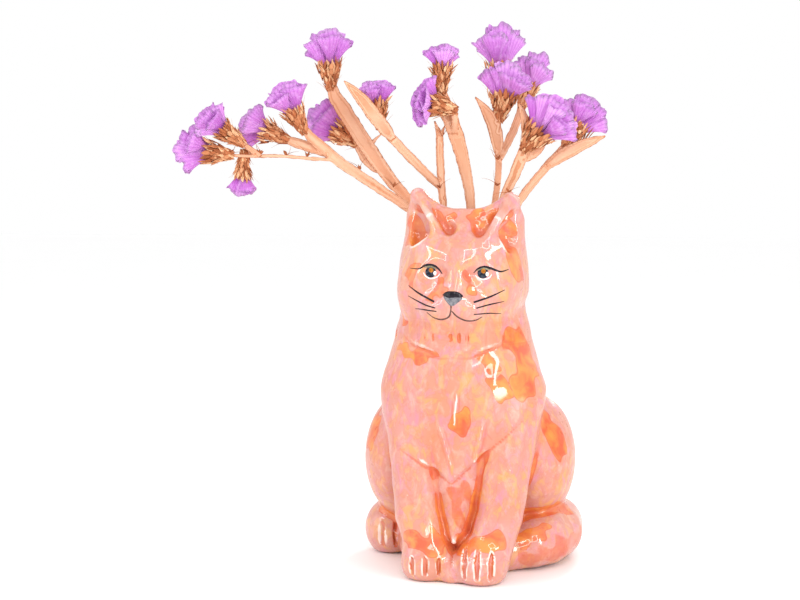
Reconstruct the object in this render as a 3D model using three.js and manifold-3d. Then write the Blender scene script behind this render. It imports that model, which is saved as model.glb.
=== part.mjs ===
// A sitting cat vase in glazed ceramic, with a bunch of dried statice standing in it.
// Millimetres, +Z up. The origin is the middle of the flat base, and the cat faces -Y.

import * as THREE from "three";
import Module from "manifold-3d";

const wasm = await Module();
wasm.setup();

// Casting: the wall follows the outside, and the floor is flat
const WALL = 4.5;
const FLOOR = 7;
const CLEARANCE = 0.3;

// Body masses, each an ellipsoid with its middle and its three radii
const BELLY = { middle: [0, 13, 47], radii: [39, 36, 58] };
const CHEST = { middle: [-2, -13, 80], radii: [35, 27, 40] };
const HAUNCH = { middle: [33, 13, 50], radii: [19.5, 32, 31] };
const HIND_PAW = { middle: [40, 16, 12], radii: [13.5, 15, 15] };
const FRONT_PAW = { middle: [12.8, -39, 8], radii: [13, 14.5, 12.5] };
const BASE = { middle: [2, 4, 8], radii: [36, 38, 17] };

// Limbs, each a path with a radius at every point
const NECK = { path: [[-1.5, -1, 90], [-1.5, -4, 112], [-1.5, -6, 132]], radii: [35.5, 32, 27] };
const FORELEG = {
  path: [[24, -15, 86], [21.5, -29, 52], [19.5, -36, 30], [14.5, -39, 14]],
  radii: [15, 12, 10.8, 10.5],
};
const BIB = { path: [[-1, -20, 66], [-1.5, -27, 44], [-1.5, -35, 22]], radii: [20, 14, 7] };
const TUFT = { path: [[-1.5, -33, 40], [-1.5, -43.5, 19]], radii: [8, 1.2] };
const TAIL = {
  path: [
    [8, 44, 13], [30, 40, 13.5], [42, 24, 14.5], [42.5, 8, 14.5],
    [39, -5, 13.5], [33, -13, 12], [23, -19, 10],
  ],
  radii: [11, 13, 13.8, 13.8, 13, 11.5, 8.5],
};

// The front paws stand to one side of the middle, one a little ahead of the other
const PAW_SHIFT = -1.8;
const PAW_STAGGER = 2.5;

// Toes are parted by short slots: shares of the paw's half-width, and levels as shares of its half-height
const FRONT_SLOTS = { shares: [-0.5, -0.03, 0.45], levels: [0.64, 0.2, -0.24] };
const HIND_SLOTS = { shares: [-0.3, 0.2], levels: [0.33, -0.07, -0.47] };
const SLOT_RADII = [0.7, 1.8, 0.9];
const SLOT_SIDES = 6;

// The coat hangs in two layers that stand out towards their hems, a ruff and a drape.
// A hem's lowest place is given across and up, and it rises to the sides and towards the back.
const RUFF = { top: 127, depth: 2.6, hem: [-2, 105], rise: 0.014 };
const DRAPE = { top: 96, depth: 1, hem: [-3, 46], rise: [-0.62, 0.9] };
const HEM_RISE_BACK = 0.4;
const HEM_FRONT = -18;
const HEM_ROUNDING = 2.5;
const LAYER_REACH = [14, 32];
const LEAST_LAYER = 0.1;

// Head masses and limbs, before the face's shear to one side
const SKULL = { middle: [-2, -8, 147], radii: [28.8, 30, 27] };
const CHEEK = { middle: [16.5, -20, 136], radii: [12.5, 15, 15] };
const MUZZLE = { middle: [0, -31, 129], radii: [13, 10.5, 10] };
const PUFF = { middle: [6.3, -35.5, 127.5], radii: [7.5, 6.5, 6] };
const CHIN = { middle: [0, -33, 120.5], radii: [8, 6.5, 5] };
const NOSE_BRIDGE = { path: [[0, -31, 152], [0, -40, 135]], radii: [6.5, 4] };
const BROW = { path: [[4, -32, 151], [17, -26, 157]], radii: [5, 5.5] };
const EYE_SOCKET = { middle: [12.5, -41, 144.5], radii: [8.5, 6, 5] };
const EYE = { middle: [12.5, -29.5, 144.5], radii: [7.5, 5, 5.2] };
const FACE_SHIFT = -1.3;
const FACE_SHEAR = 0.1;
const FACE_LEVEL = 145;

// Ears: a front ridge, an outer edge and an inner edge meet at the tip, with dishes between them
const EAR_RIDGE = { path: [[10.5, -31, 160], [16, -27.5, 170], [22, -18.5, 179.5]], radii: [2.6, 2.6, 2.8] };
const EAR_OUTER = { path: [[24.5, -10, 158], [25, -11.5, 170], [22.5, -15.5, 178.5]], radii: [3.6, 3.4, 3.2] };
const EAR_INNER = { path: [[22, -17, 179], [9, -21, 171]], radii: [3, 3] };
const EAR_WEB = { middle: [18, -14, 164], radii: [8.5, 7, 13] };
const EAR_DISH = { path: [[21, -25, 162], [22, -25, 171], [22, -22.5, 177]], radii: [6.5, 5.5, 2] };
const EAR_FOLD = { path: [[8.5, -31, 166], [12, -29.5, 172], [16.5, -25.5, 178]], radii: [5, 4.5, 2] };
const EAR_SHEAR = -0.05;
const EAR_LEVEL = 190;
const EAR_TILT = 0.045;

// Crown and mouth: an oval collar whose rim slopes down to the back
const CROWN_SHIFT = -1;
const CROWN_RADII = [28, 24];
const RIM_FRONT = 173.5;
const RIM_SLOPE = 16;
const CROWN_FOOT = 135;

// How softly the masses run into one another
const BODY_BLEND = 16;
const LIMB_BLEND = 5;
const TUFT_BLEND = 2.5;
const PAW_BLEND = 3.5;
const BASE_BLEND = 8;
const LAYER_BLEND = 1;
const FACE_BLEND = 6;
const SOCKET_BLEND = 2.5;
const EAR_BLEND = 3.5;
const DISH_BLEND = 2;
const SKULL_BLEND = 12;
const CROWN_BLEND = 7;
const RIM_ROUNDING = 3;

// The skin's grid: its spacings over detail, up the paws and tail, over plain forms and up the long sides
const FINE = 4;
const LOW = 5;
const PLAIN = 7;
const LONG = 10;

// The hollow's grid, in the mouth and below it
const INNER = 8;
const INNER_LONG = 14;

// Statice: winged stems, cups of bracts and papery calyces
const STEM_CORE = 1.6;
const BARE_SHARE = 1.1;
const WING_OPENS = 0.2;
const CLOSE_LENGTH = 10;
const POINT_LENGTH = 18;
const LEAST_POINT = 0.2;
const BRACT_RADIUS = 4.2;
const BRACT_LENGTH = 9;
const BRACT_FLATNESS = 0.75;
const CALYX_FLATNESS = 0.48;
const BOUQUET_TURN = 8.5;

// The stems stand in three lanes, counted from the back of the mouth
const BACK_LANE_INSET = 7.4;
const LANE_PITCH = 5.2;
const FRONT_LANE_PITCH = 7.9;

// Each sprig passes the mouth at its inset from one side, and stands on the floor at a share of its width.
// Points of a stem or branch are measured from where the sprig passes the mouth: across, back and up.
const SPRIGS = [
  {
    name: "left_low",
    lane: "middle",
    side: -1,
    inset: 5.2,
    foot: 0.15,
    stem: {
      path: [
        [-10.5, -1, 8.5], [-20, -2.5, 15], [-31, -3, 22.5], [-46.5, -5, 33],
        [-54.5, -6, 40], [-60, -7, 45], [-62.5, -7.5, 47.5], [-63.5, -8, 49.5],
      ],
      wing: 2.6,
      head: { spread: 10.5, height: 13 },
    },
    branches: [
      {
        path: [
          [-46.5, -5, 32.5], [-60.5, -8, 33.5], [-71, -9, 34.5], [-83, -10, 34.5],
          [-90.5, -11, 34.5], [-97, -11, 35], [-100.5, -11, 35.5],
        ],
        core: 0.7,
        wing: 0.8,
        head: { spread: 11, height: 14 },
      },
      {
        path: [[-83, -10, 34.5], [-88.5, -12, 38.5], [-94, -14, 42.5]],
        core: 0.8,
        wing: 1.4,
        head: { spread: 9, height: 12 },
      },
      {
        path: [[-85, -10, 34.5], [-89, -9, 36.3], [-91.2, -8.5, 35], [-91.4, -8, 33]],
        core: 0.8,
        wing: 0.9,
        head: { spread: 6.5, height: 9 },
      },
      {
        path: [[-50.5, -5.5, 36], [-61, -3, 39.5], [-69, -1, 42], [-74, 0, 44]],
        wing: 2.6,
        head: { spread: 10, height: 12 },
      },
    ],
  },
  {
    name: "left_high",
    lane: "back",
    side: -1,
    inset: 5.2,
    foot: 0.3,
    stem: {
      path: [
        [-11, 0, 11], [-22, 0, 22.5], [-31.5, 0, 35.5], [-39.5, 0.5, 47.5],
        [-46, 1, 58], [-51.5, 1, 66], [-53, 1, 70], [-53.2, 1, 73],
      ],
      wing: 3.8,
      head: { spread: 11, height: 16 },
    },
    branches: [
      {
        path: [[-26, 0, 28], [-33, 3, 31.5], [-37.5, 6, 36.5], [-40, 8, 42], [-43.5, 9, 44.3]],
        wing: 2.2,
        head: { spread: 12, height: 15 },
      },
      { path: [[-34, 0.5, 41], [-31.5, 2, 44], [-28.3, 3, 47]], core: 1, wing: 1.6 },
    ],
  },
  {
    name: "centre_thin",
    lane: "middle",
    side: -1,
    inset: 11.2,
    foot: 0.45,
    stem: {
      path: [[0, 0, 9], [-1, 0, 19.5], [-1.5, 0, 28.5], [-2, 0, 37], [-2, 0, 44], [-4.5, 0, 51.5]],
      wing: 2,
    },
    branches: [
      {
        path: [
          [-1.5, 0, 19.5], [-11, -5, 28.5], [-19, -8, 36.5], [-26, -10, 44],
          [-29.5, -11.5, 47], [-31.3, -12, 49.5], [-31.5, -12, 52],
        ],
        wing: 2.2,
        head: { spread: 9, height: 9 },
      },
      { path: [[-25, -10, 43], [-33.5, -18.5, 53.5], [-40, -20, 62], [-48, -21, 70]], wing: 3.4 },
      { path: [[-2, 0, 41], [-1, -1, 45.5], [0.5, -1.5, 49.5]], core: 1.2, wing: 1.6 },
    ],
  },
  {
    name: "centre_wide",
    lane: "middle",
    side: -1,
    inset: 24.4,
    foot: 0.76,
    stem: {
      path: [
        [0.3, 0, 9], [-0.5, 0, 17], [-2.5, -1, 27], [-5.5, -3, 39],
        [-9, -4.5, 49.5], [-13, -6, 59.5], [-14.5, -7, 65], [-14.5, -7, 69],
      ],
      wing: 3.8,
      head: { spread: 8.5, height: 10 },
    },
    branches: [
      {
        path: [[-8, -4.2, 46], [-8, -8.5, 52], [-8.8, -10.5, 57], [-11.5, -11, 57.8]],
        wing: 1.8,
        head: { spread: 12.5, height: 7.5 },
      },
    ],
  },
  {
    name: "right_thin",
    lane: "back",
    side: 1,
    inset: 5.9,
    foot: 0.68,
    stem: {
      path: [
        [2, 0, 12], [3.5, 0, 23.5], [4, 0.5, 34], [3, 1.5, 44],
        [3, 2, 50.5], [4.5, 2.5, 54.5], [5, 2.5, 57.5],
      ],
      wing: 1.8,
      head: { spread: 12.5, height: 15 },
    },
    branches: [
      {
        path: [[4, 0.5, 34.5], [10.5, 8, 46], [15, 17, 56], [17.5, 20, 64]],
        wing: 2,
        head: { spread: 10, height: 17 },
      },
      {
        path: [[3.5, 2, 52], [4.5, 9, 60.5], [4.5, 12.5, 68.5], [4.8, 13, 73]],
        wing: 2,
        head: { spread: 12.5, height: 20 },
      },
      { path: [[3.5, 1, 38], [2.8, 1.7, 47], [-1, 1.5, 56.5], [-7.5, 1.5, 65]], wing: 3.4 },
    ],
  },
  {
    name: "right_wide",
    lane: "front",
    side: 1,
    inset: 9,
    foot: -0.5,
    stem: {
      path: [[5, -2, 15], [8.5, -5, 23], [11.5, -7, 31], [12.5, -9, 35], [15, -9.5, 38]],
      wing: 3.2,
      head: { spread: 15, height: 16 },
    },
    branches: [
      { path: [[12, -7, 30.5], [14.5, -6, 40], [13.5, -6, 49.5], [10.5, -6, 57.5]], wing: 2.8 },
      { path: [[12.5, -6.5, 31], [19, -3.5, 34], [24.5, -2, 39.5]], wing: 2.6 },
    ],
  },
  {
    name: "far_right",
    lane: "front",
    side: 1,
    inset: 2.9,
    foot: -0.2,
    stem: {
      path: [[7, 0.5, 13], [13, 2, 20.5], [19, 3, 27.5], [24, 5, 32.5], [28, 6, 37], [30, 7, 40]],
      wing: 2.2,
      head: { spread: 13, height: 14 },
    },
    branches: [{ path: [[19, 3, 27.5], [26, 3, 32.5], [35.5, 3, 37.5], [47, 3, 42]], wing: 3.2 }],
  },
];

// Fields: a point's signed distance to a form, negative inside

const smoothMin = (a, b, k) => {
  const h = Math.max(k - Math.abs(a - b), 0) / k;
  return Math.min(a, b) - (h * h * k) / 4;
};

const blend = (k, ...fields) => (p) => fields.map((field) => field(p)).reduce((a, b) => smoothMin(a, b, k));

const carve = (k, field, cutter) => (p) => -smoothMin(-field(p), cutter(p), k);

const mirrored = (field) => (p) => field([Math.abs(p[0]), p[1], p[2]]);

function ellipsoid({ middle, radii }) {
  return (p) => {
    const q = p.map((value, i) => (value - middle[i]) / radii[i]);
    const near = Math.hypot(...q);
    const slope = Math.hypot(...q.map((value, i) => value / radii[i]));
    return slope < 1e-9 ? -Math.min(...radii) : (near * (near - 1)) / slope;
  };
}

// A chain of tapering round limbs
function limb({ path, radii }) {
  return (p) => {
    let nearest = Infinity;
    for (let i = 1; i < path.length; i += 1) {
      const [a, b] = [path[i - 1], path[i]];
      const along = b.map((value, axis) => value - a[axis]);
      const from = p.map((value, axis) => value - a[axis]);
      const length2 = along.reduce((sum, value) => sum + value * value, 0);
      const dot = along.reduce((sum, value, axis) => sum + value * from[axis], 0);
      const t = Math.min(Math.max(dot / length2, 0), 1);
      const off = from.map((value, axis) => value - along[axis] * t);
      nearest = Math.min(nearest, Math.hypot(...off) - radii[i - 1] - (radii[i] - radii[i - 1]) * t);
    }
    return nearest;
  };
}

const ovalTube = ([rx, ry]) => ([x, y]) =>
  (Math.hypot((x - CROWN_SHIFT) / rx, y / ry) - 1) * Math.min(rx, ry);

// The rim's plane: its front edge is at RIM_FRONT, and it falls towards the back
const rimFall = Math.tan(THREE.MathUtils.degToRad(RIM_SLOPE));
const rimHeight = (y) => RIM_FRONT - (y + CROWN_RADII[1]) * rimFall;
const underRim = (p) => (p[2] - rimHeight(p[1])) * Math.cos(THREE.MathUtils.degToRad(RIM_SLOPE));

// The face is pushed over a little to one side, as the modeller left it
const sheared = (field) => ([x, y, z]) => field([x - FACE_SHIFT - FACE_SHEAR * (z - FACE_LEVEL), y, z]);

// Both ears from one, with the pair tilted
const earSet = (shear, field) => ([x, y, z]) =>
  field([Math.abs(x - shear * (z - EAR_LEVEL)), y, z + EAR_TILT * x]);

const frontPaws = ([x, y, z]) => {
  const across = x - PAW_SHIFT;
  return ellipsoid(FRONT_PAW)([Math.abs(across), y + Math.sign(across) * PAW_STAGGER, z]);
};

const torso = blend(BODY_BLEND, ellipsoid(BELLY), ellipsoid(CHEST), limb(NECK));
const collar = carve(RIM_ROUNDING, ovalTube(CROWN_RADII), (p) => -underRim(p));
const crown = carve(RIM_ROUNDING, collar, (p) => p[2] - CROWN_FOOT);
const headMass = blend(CROWN_BLEND, ellipsoid(SKULL), crown);
const haunches = mirrored(ellipsoid(HAUNCH));
const withHead = blend(SKULL_BLEND, torso, headMass);
const withForelegs = blend(LIMB_BLEND, withHead, haunches, mirrored(limb(FORELEG)));
const withLegs = blend(TUFT_BLEND, withForelegs, limb(BIB));

// The legs and body under the ruff and the drape
function coated(p) {
  const skin = withLegs(p);
  const back = HEM_RISE_BACK * Math.max(p[1] - HEM_FRONT, 0);
  const ruffHem = RUFF.hem[1] + RUFF.rise * (p[0] - RUFF.hem[0]) ** 2 + back;
  const off = p[0] - DRAPE.hem[0];
  const drapeHem = DRAPE.hem[1] + Math.max(...DRAPE.rise.map((rise) => rise * off)) + back;
  const [near, far] = LAYER_REACH;
  const fade = THREE.MathUtils.clamp((far - Math.abs(off)) / (far - near), LEAST_LAYER, 1);
  let value = skin;
  for (const [{ top, depth }, hem] of [[RUFF, ruffHem], [DRAPE, drapeHem]]) {
    const lift = fade * depth * THREE.MathUtils.clamp((top - p[2]) / Math.max(top - hem, 1), 0, 1);
    value = smoothMin(value, -smoothMin(lift - skin, p[2] - hem, HEM_ROUNDING), LAYER_BLEND);
  }
  return value;
}

const face = sheared(
  blend(
    FACE_BLEND,
    mirrored(ellipsoid(CHEEK)),
    ellipsoid(MUZZLE),
    mirrored(ellipsoid(PUFF)),
    ellipsoid(CHIN),
    limb(NOSE_BRIDGE),
    mirrored(limb(BROW)),
  ),
);
const sockets = sheared(mirrored(ellipsoid(EYE_SOCKET)));
const eyes = sheared(mirrored(ellipsoid(EYE)));
const earFlaps = earSet(0, blend(EAR_BLEND, limb(EAR_OUTER), limb(EAR_INNER), ellipsoid(EAR_WEB)));
const earRidges = earSet(EAR_SHEAR, limb(EAR_RIDGE));
const earDishes = earSet(EAR_SHEAR, blend(DISH_BLEND, limb(EAR_DISH), limb(EAR_FOLD)));

const withTuft = blend(TUFT_BLEND, coated, limb(TUFT));
const withBase = blend(BASE_BLEND, withTuft, ellipsoid(BASE));
const withPaws = blend(PAW_BLEND, withBase, frontPaws, mirrored(ellipsoid(HIND_PAW)), limb(TAIL));
const withFace = blend(FACE_BLEND, carve(SOCKET_BLEND, blend(FACE_BLEND, withPaws, face), sockets), eyes);
const withEars = carve(DISH_BLEND, blend(EAR_BLEND, withFace, earFlaps), earDishes);
const catField = blend(EAR_BLEND, withEars, earRidges);

// The hollow keeps the wall all round the main masses and under the ears' dishes, and opens through the mouth
const mouthRadii = CROWN_RADII.map((radius) => radius - WALL);
const bore = carve(RIM_ROUNDING, ovalTube(mouthRadii), (p) => p[2] - CROWN_FOOT);
const mainMass = blend(LIMB_BLEND, blend(SKULL_BLEND, torso, ellipsoid(SKULL)), haunches);
const chamber = (p) => -smoothMin(-WALL - mainMass(p), earDishes(p) - WALL, RIM_ROUNDING);
const hollowField = blend(WALL, chamber, bore);

// Surfaces: one vertex in each grid cell that the field's zero level crosses

// Grid lines along one axis, given as stretches [from, to, spacing]
function gridLines(stretches) {
  const lines = [stretches[0][0]];
  for (const [from, to, spacing] of stretches) {
    const count = Math.ceil((to - from) / spacing);
    for (let i = 1; i <= count; i += 1) lines.push(from + ((to - from) * i) / count);
  }
  return lines;
}

// Draws a vertex towards the zero level, gently where the field is shallow
const SETTLE_SHARE = 0.7;
const SETTLE_SLOPE = 0.5;

function settle(field, point) {
  const step = 0.05;
  for (let round = 0; round < 2; round += 1) {
    const value = field(point);
    const slope = [0, 1, 2].map((axis) => {
      const ahead = [...point];
      const behind = [...point];
      ahead[axis] += step;
      behind[axis] -= step;
      return (field(ahead) - field(behind)) / (2 * step);
    });
    const steepness = slope.reduce((sum, part) => sum + part * part, 0);
    if (steepness < 1e-6) break;
    const pull = (value * SETTLE_SHARE) / Math.max(steepness, SETTLE_SLOPE);
    for (let axis = 0; axis < 3; axis += 1) point[axis] -= pull * slope[axis];
  }
  return point;
}

// A cell's corners carry one bit for each axis, and its faces list theirs in order round the face
const CELL_CORNERS = [0, 1, 2, 3, 4, 5, 6, 7];
const CELL_EDGES = [1, 2, 4].flatMap((bit) => CELL_CORNERS.filter((a) => !(a & bit)).map((a) => [a, a | bit]));
const CELL_FACES = [1, 2, 4].flatMap((bit) => {
  const [u, v] = [1, 2, 4].filter((other) => other !== bit);
  return [0, bit].map((side) => [side, side | u, side | u | v, side | v]);
});
const edgeBetween = (a, b) =>
  CELL_EDGES.findIndex(([from, to]) => from === Math.min(a, b) && to === Math.max(a, b));
const FACE_EDGES = CELL_FACES.map((face) => face.map((a, n) => edgeBetween(a, face[(n + 1) % 4])));

// Numbers the sheets of the surface in a cell: crossed edges that meet on a face share a sheet
function sheetsOf(inside) {
  const sheet = CELL_EDGES.map(([a, b], n) => (inside[a] === inside[b] ? -1 : n));
  const join = (a, b) => {
    const [keep, drop] = [Math.min(sheet[a], sheet[b]), Math.max(sheet[a], sheet[b])];
    for (let n = 0; n < sheet.length; n += 1) if (sheet[n] === drop) sheet[n] = keep;
  };
  CELL_FACES.forEach((face, f) => {
    const crossed = FACE_EDGES[f].filter((edge) => sheet[edge] >= 0);
    if (crossed.length === 2) join(...crossed);
    if (crossed.length < 4) return;
    face.forEach((corner, n) => {
      if (inside[corner]) join(FACE_EDGES[f][n], FACE_EDGES[f][(n + 3) % 4]);
    });
  });
  return sheet;
}

function surface(field, axes) {
  const [nx, ny, nz] = axes.map((lines) => lines.length);
  const at = (i, j, k) => (i * ny + j) * nz + k;
  const place = (i, j, k, corner) => [
    axes[0][i + (corner & 1)],
    axes[1][j + ((corner >> 1) & 1)],
    axes[2][k + (corner >> 2)],
  ];
  const eachCell = (first, visit) => {
    for (let i = first; i < nx - 1; i += 1)
      for (let j = first; j < ny - 1; j += 1) for (let k = first; k < nz - 1; k += 1) visit(i, j, k);
  };
  const values = new Float64Array(nx * ny * nz);
  for (let i = 0; i < nx; i += 1)
    for (let j = 0; j < ny; j += 1)
      for (let k = 0; k < nz; k += 1) values[at(i, j, k)] = field(place(i, j, k, 0));

  const positions = [];
  const edgeVertices = new Map();
  eachCell(0, (i, j, k) => {
    const cell = CELL_CORNERS.map((n) => values[at(i + (n & 1), j + ((n >> 1) & 1), k + (n >> 2))]);
    const inside = cell.map((value) => value < 0);
    if (inside.every((side) => side === inside[0])) return;
    const sheet = sheetsOf(inside);
    const vertices = new Array(CELL_EDGES.length).fill(-1);
    for (const number of new Set(sheet.filter((n) => n >= 0))) {
      const crossings = CELL_EDGES.filter((_, n) => sheet[n] === number).map(([a, b]) => {
        const t = cell[a] / (cell[a] - cell[b]);
        const [from, to] = [place(i, j, k, a), place(i, j, k, b)];
        return from.map((value, axis) => value + (to[axis] - value) * t);
      });
      const mean = (axis) => crossings.reduce((sum, place) => sum + place[axis], 0) / crossings.length;
      const middle = [0, 1, 2].map(mean);
      sheet.forEach((n, edge) => {
        if (n === number) vertices[edge] = positions.length / 3;
      });
      positions.push(...settle(field, middle));
    }
    edgeVertices.set(at(i, j, k), vertices);
  });

  const triangles = [];
  const distance2 = (a, b) =>
    [0, 1, 2].reduce((sum, axis) => sum + (positions[3 * a + axis] - positions[3 * b + axis]) ** 2, 0);
  const addQuad = (ring) => {
    const cut = distance2(ring[0], ring[2]) < distance2(ring[1], ring[3]) ? 0 : 1;
    const [p, q, r, s] = [0, 1, 2, 3].map((n) => ring[(n + cut) % 4]);
    triangles.push(p, q, r, p, r, s);
  };
  eachCell(1, (i, j, k) => {
    const inside = values[at(i, j, k)] < 0;
    for (const [bit, u, v] of [[1, 2, 4], [2, 4, 1], [4, 1, 2]]) {
      const step = (n, axisBit) => (n & axisBit ? 1 : 0);
      if (inside === values[at(i + step(bit, 1), j + step(bit, 2), k + step(bit, 4))] < 0) continue;
      const ring = [0, u, u | v, v].map((n) => {
        const vertices = edgeVertices.get(at(i - step(n, 1), j - step(n, 2), k - step(n, 4)));
        return vertices[edgeBetween(n, n | bit)];
      });
      addQuad(inside ? ring : ring.reverse());
    }
  });
  return { positions, triangles };
}

// Solids

function solidFrom({ positions, triangles }) {
  const mesh = new wasm.Mesh({
    numProp: 3,
    vertProperties: new Float32Array(positions),
    triVerts: new Uint32Array(triangles),
  });
  return new wasm.Manifold(mesh);
}

function geometryOf(solid) {
  const mesh = solid.getMesh();
  const geometry = new THREE.BufferGeometry();
  geometry.setAttribute("position", new THREE.BufferAttribute(new Float32Array(mesh.vertProperties), 3));
  geometry.setIndex([...mesh.triVerts]);
  geometry.computeVertexNormals();
  return geometry;
}

// A closed skin over a row of rings of points, with a fan at each end
function loft(rings) {
  const count = rings[0].length;
  const points = rings.flat();
  const triangles = [];
  for (let i = 1; i < rings.length; i += 1)
    for (let j = 0; j < count; j += 1) {
      const [a, b] = [(i - 1) * count + j, (i - 1) * count + ((j + 1) % count)];
      triangles.push(a, b, b + count, a, b + count, a + count);
    }
  const last = (rings.length - 1) * count;
  const middleOf = (ring) => ring.reduce((sum, p) => sum.add(p), new THREE.Vector3()).divideScalar(count);
  points.push(middleOf(rings[0]), middleOf(rings[rings.length - 1]));
  for (let j = 0; j < count; j += 1) {
    const next = (j + 1) % count;
    triangles.push(points.length - 2, next, j, points.length - 1, last + j, last + next);
  }
  return { positions: points.flatMap((p) => [p.x, p.y, p.z]), triangles };
}

const slab = (low, high) => {
  const reach = 2 * RIM_FRONT;
  const corners = [[-reach, -reach], [reach, -reach], [reach, reach], [-reach, reach]];
  const rings = [low, high].map((z) => corners.map(([x, y]) => new THREE.Vector3(x, y, z)));
  return solidFrom(loft(rings));
};

// How far the forms reach along an axis, to its end or to its start
const FORMS = [BELLY, CHEST, HAUNCH, HIND_PAW, FRONT_PAW, BASE, TAIL, SKULL, EAR_RIDGE, EAR_OUTER];

function reachOf(axis, sign) {
  const reaches = FORMS.flatMap(({ middle, path, radii }) => {
    if (middle) return [sign * middle[axis] + radii[axis]];
    return path.map((point, n) => sign * point[axis] + radii[n]);
  });
  return Math.max(...reaches);
}

// The slots of one paw, as paths on its surface
function slotPaths({ middle, radii }, { shares, levels }) {
  return shares.map((share) =>
    levels.map((level) => {
      const front = Math.sqrt(Math.max(1 - share ** 2 - level ** 2, 0));
      return [share, -front, level].map((part, axis) => middle[axis] + part * radii[axis]);
    }),
  );
}

function slotCutter(path) {
  const points = path.map((point) => new THREE.Vector3(...point));
  const across = new THREE.Vector3(1, 0, 0);
  const through = points[points.length - 1].clone().sub(points[0]).normalize().cross(across);
  const rings = points.map((point, n) =>
    Array.from({ length: SLOT_SIDES }, (_, side) => {
      const angle = (2 * Math.PI * side) / SLOT_SIDES;
      const [u, v] = [Math.cos(angle) * SLOT_RADII[n], Math.sin(angle) * SLOT_RADII[n]];
      return point.clone().addScaledVector(across, u).addScaledVector(through, v);
    }),
  );
  return solidFrom(loft(rings));
}

// The tail lies over one hind paw, so only the other one shows its toes
function toeSlots() {
  const front = slotPaths(FRONT_PAW, FRONT_SLOTS).flatMap((path) =>
    [-1, 1].map((side) => path.map(([x, y, z]) => [PAW_SHIFT + side * x, y - side * PAW_STAGGER, z])),
  );
  const hind = slotPaths(HIND_PAW, HIND_SLOTS).map((path) => path.map(([x, y, z]) => [-x, y, z]));
  return [...front, ...hind].map(slotCutter);
}

function vaseSolid() {
  const margin = 2 * PLAIN;
  const side = Math.max(reachOf(0, 1), reachOf(0, -1)) + margin;
  const [front, rear] = [-reachOf(1, -1) - PAW_STAGGER - margin, reachOf(1, 1) + margin];
  const [bottom, top] = [-reachOf(2, -1) - margin, reachOf(2, 1) + margin];
  const headHalf = SKULL.radii[0] - SKULL.middle[0];
  const headMiddle = SKULL.middle[1];
  const lowForms = TAIL.path[2][2] + TAIL.radii[2];
  const underRuff = RUFF.hem[1] - FINE;
  const outer = surface(catField, [
    gridLines([[-side, -headHalf, PLAIN], [-headHalf, headHalf, FINE], [headHalf, side, PLAIN]]),
    gridLines([[front, headMiddle, FINE], [headMiddle, rear, PLAIN]]),
    gridLines([[bottom, 0, LONG], [0, lowForms, LOW], [lowForms, underRuff, LONG], [underRuff, top, FINE]]),
  ]);
  const inner = surface((p) => Math.max(hollowField(p), p[2] - top), [
    gridLines([[-side, side, INNER]]),
    gridLines([[front, rear, INNER]]),
    gridLines([[bottom, CROWN_FOOT, INNER_LONG], [CROWN_FOOT, top + margin, INNER]]),
  ]);
  const hollow = solidFrom(inner).subtract(slab(bottom, FLOOR));
  const shell = solidFrom(outer).subtract(slab(bottom - margin, 0)).subtract(hollow);
  return toeSlots().reduce((body, slot) => body.subtract(slot), shell);
}

// A stem's section: a round core with a thin wing to each side
const DEPTH = new THREE.Vector3(0, 1, 0);

function stemRing(centre, across, through, wing, core) {
  const shoulder = core * Math.SQRT1_2;
  const outline = [
    [wing, 0],
    [shoulder, shoulder],
    [-shoulder, shoulder],
    [-wing, 0],
    [-shoulder, -shoulder],
    [shoulder, -shoulder],
  ];
  return outline.map(([u, v]) => centre.clone().addScaledVector(across, u).addScaledVector(through, v));
}

// The wings open after the start, and run out before the end into a head's foot or a pointed leaf
function stemSolid(points, wing, { steps, shank = null, core = STEM_CORE, pointed = false }) {
  const curve = new THREE.CatmullRomCurve3(points, false, "centripetal");
  const length = curve.getLength();
  const opensAt = shank ? shank.rise / length : 0;
  const straight = shank ? shank.steps : 0;
  const bare = core * BARE_SHARE;
  const rings = [];
  for (let n = 0; n <= straight + steps; n += 1) {
    const u = n < straight ? (opensAt * n) / straight : opensAt + ((1 - opensAt) * (n - straight)) / steps;
    const tangent = curve.getTangentAt(u);
    const across = tangent.clone().cross(DEPTH).normalize();
    const through = tangent.clone().cross(across);
    const left = (1 - u) * length;
    const point = pointed ? Math.min(left / POINT_LENGTH, 1) : 1;
    const closing = pointed ? point : left / CLOSE_LENGTH;
    const open = THREE.MathUtils.clamp(Math.min((u - opensAt) / WING_OPENS, closing), 0, 1);
    const thickness = core * Math.min(1, LEAST_POINT + 2 * point);
    const reach = Math.max(thickness * BARE_SHARE, bare * point) + (wing - bare) * open;
    if (shank && n === 0) {
      across.set(1, 0, 0);
      through.set(0, 1, 0);
    }
    rings.push(stemRing(curve.getPointAt(u), across, through, reach, thickness));
  }
  return { solid: solidFrom(loft(rings)), end: curve.getPointAt(1), axis: curve.getTangentAt(1) };
}

// A lobed ring of a flower head, flattened from front to back
function headRing(frame, height, radius, flatness, lobes, ruffle, count) {
  return Array.from({ length: count }, (_, n) => {
    const angle = (2 * Math.PI * n) / count;
    const reach = radius * (1 + ruffle * Math.cos(lobes * angle));
    return frame.foot
      .clone()
      .addScaledVector(frame.across, reach * Math.cos(angle))
      .addScaledVector(frame.through, reach * Math.sin(angle) * flatness)
      .addScaledVector(frame.axis, height);
  });
}

function bractCup(frame) {
  const profile = [
    [0, STEM_CORE * BARE_SHARE],
    [0.35, BRACT_RADIUS * 0.7],
    [0.75, BRACT_RADIUS],
    [1, BRACT_RADIUS * 0.8],
  ];
  return loft(
    profile.map(([share, radius]) => headRing(frame, share * BRACT_LENGTH, radius, BRACT_FLATNESS, 4, 0.1, 8)),
  );
}

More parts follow.
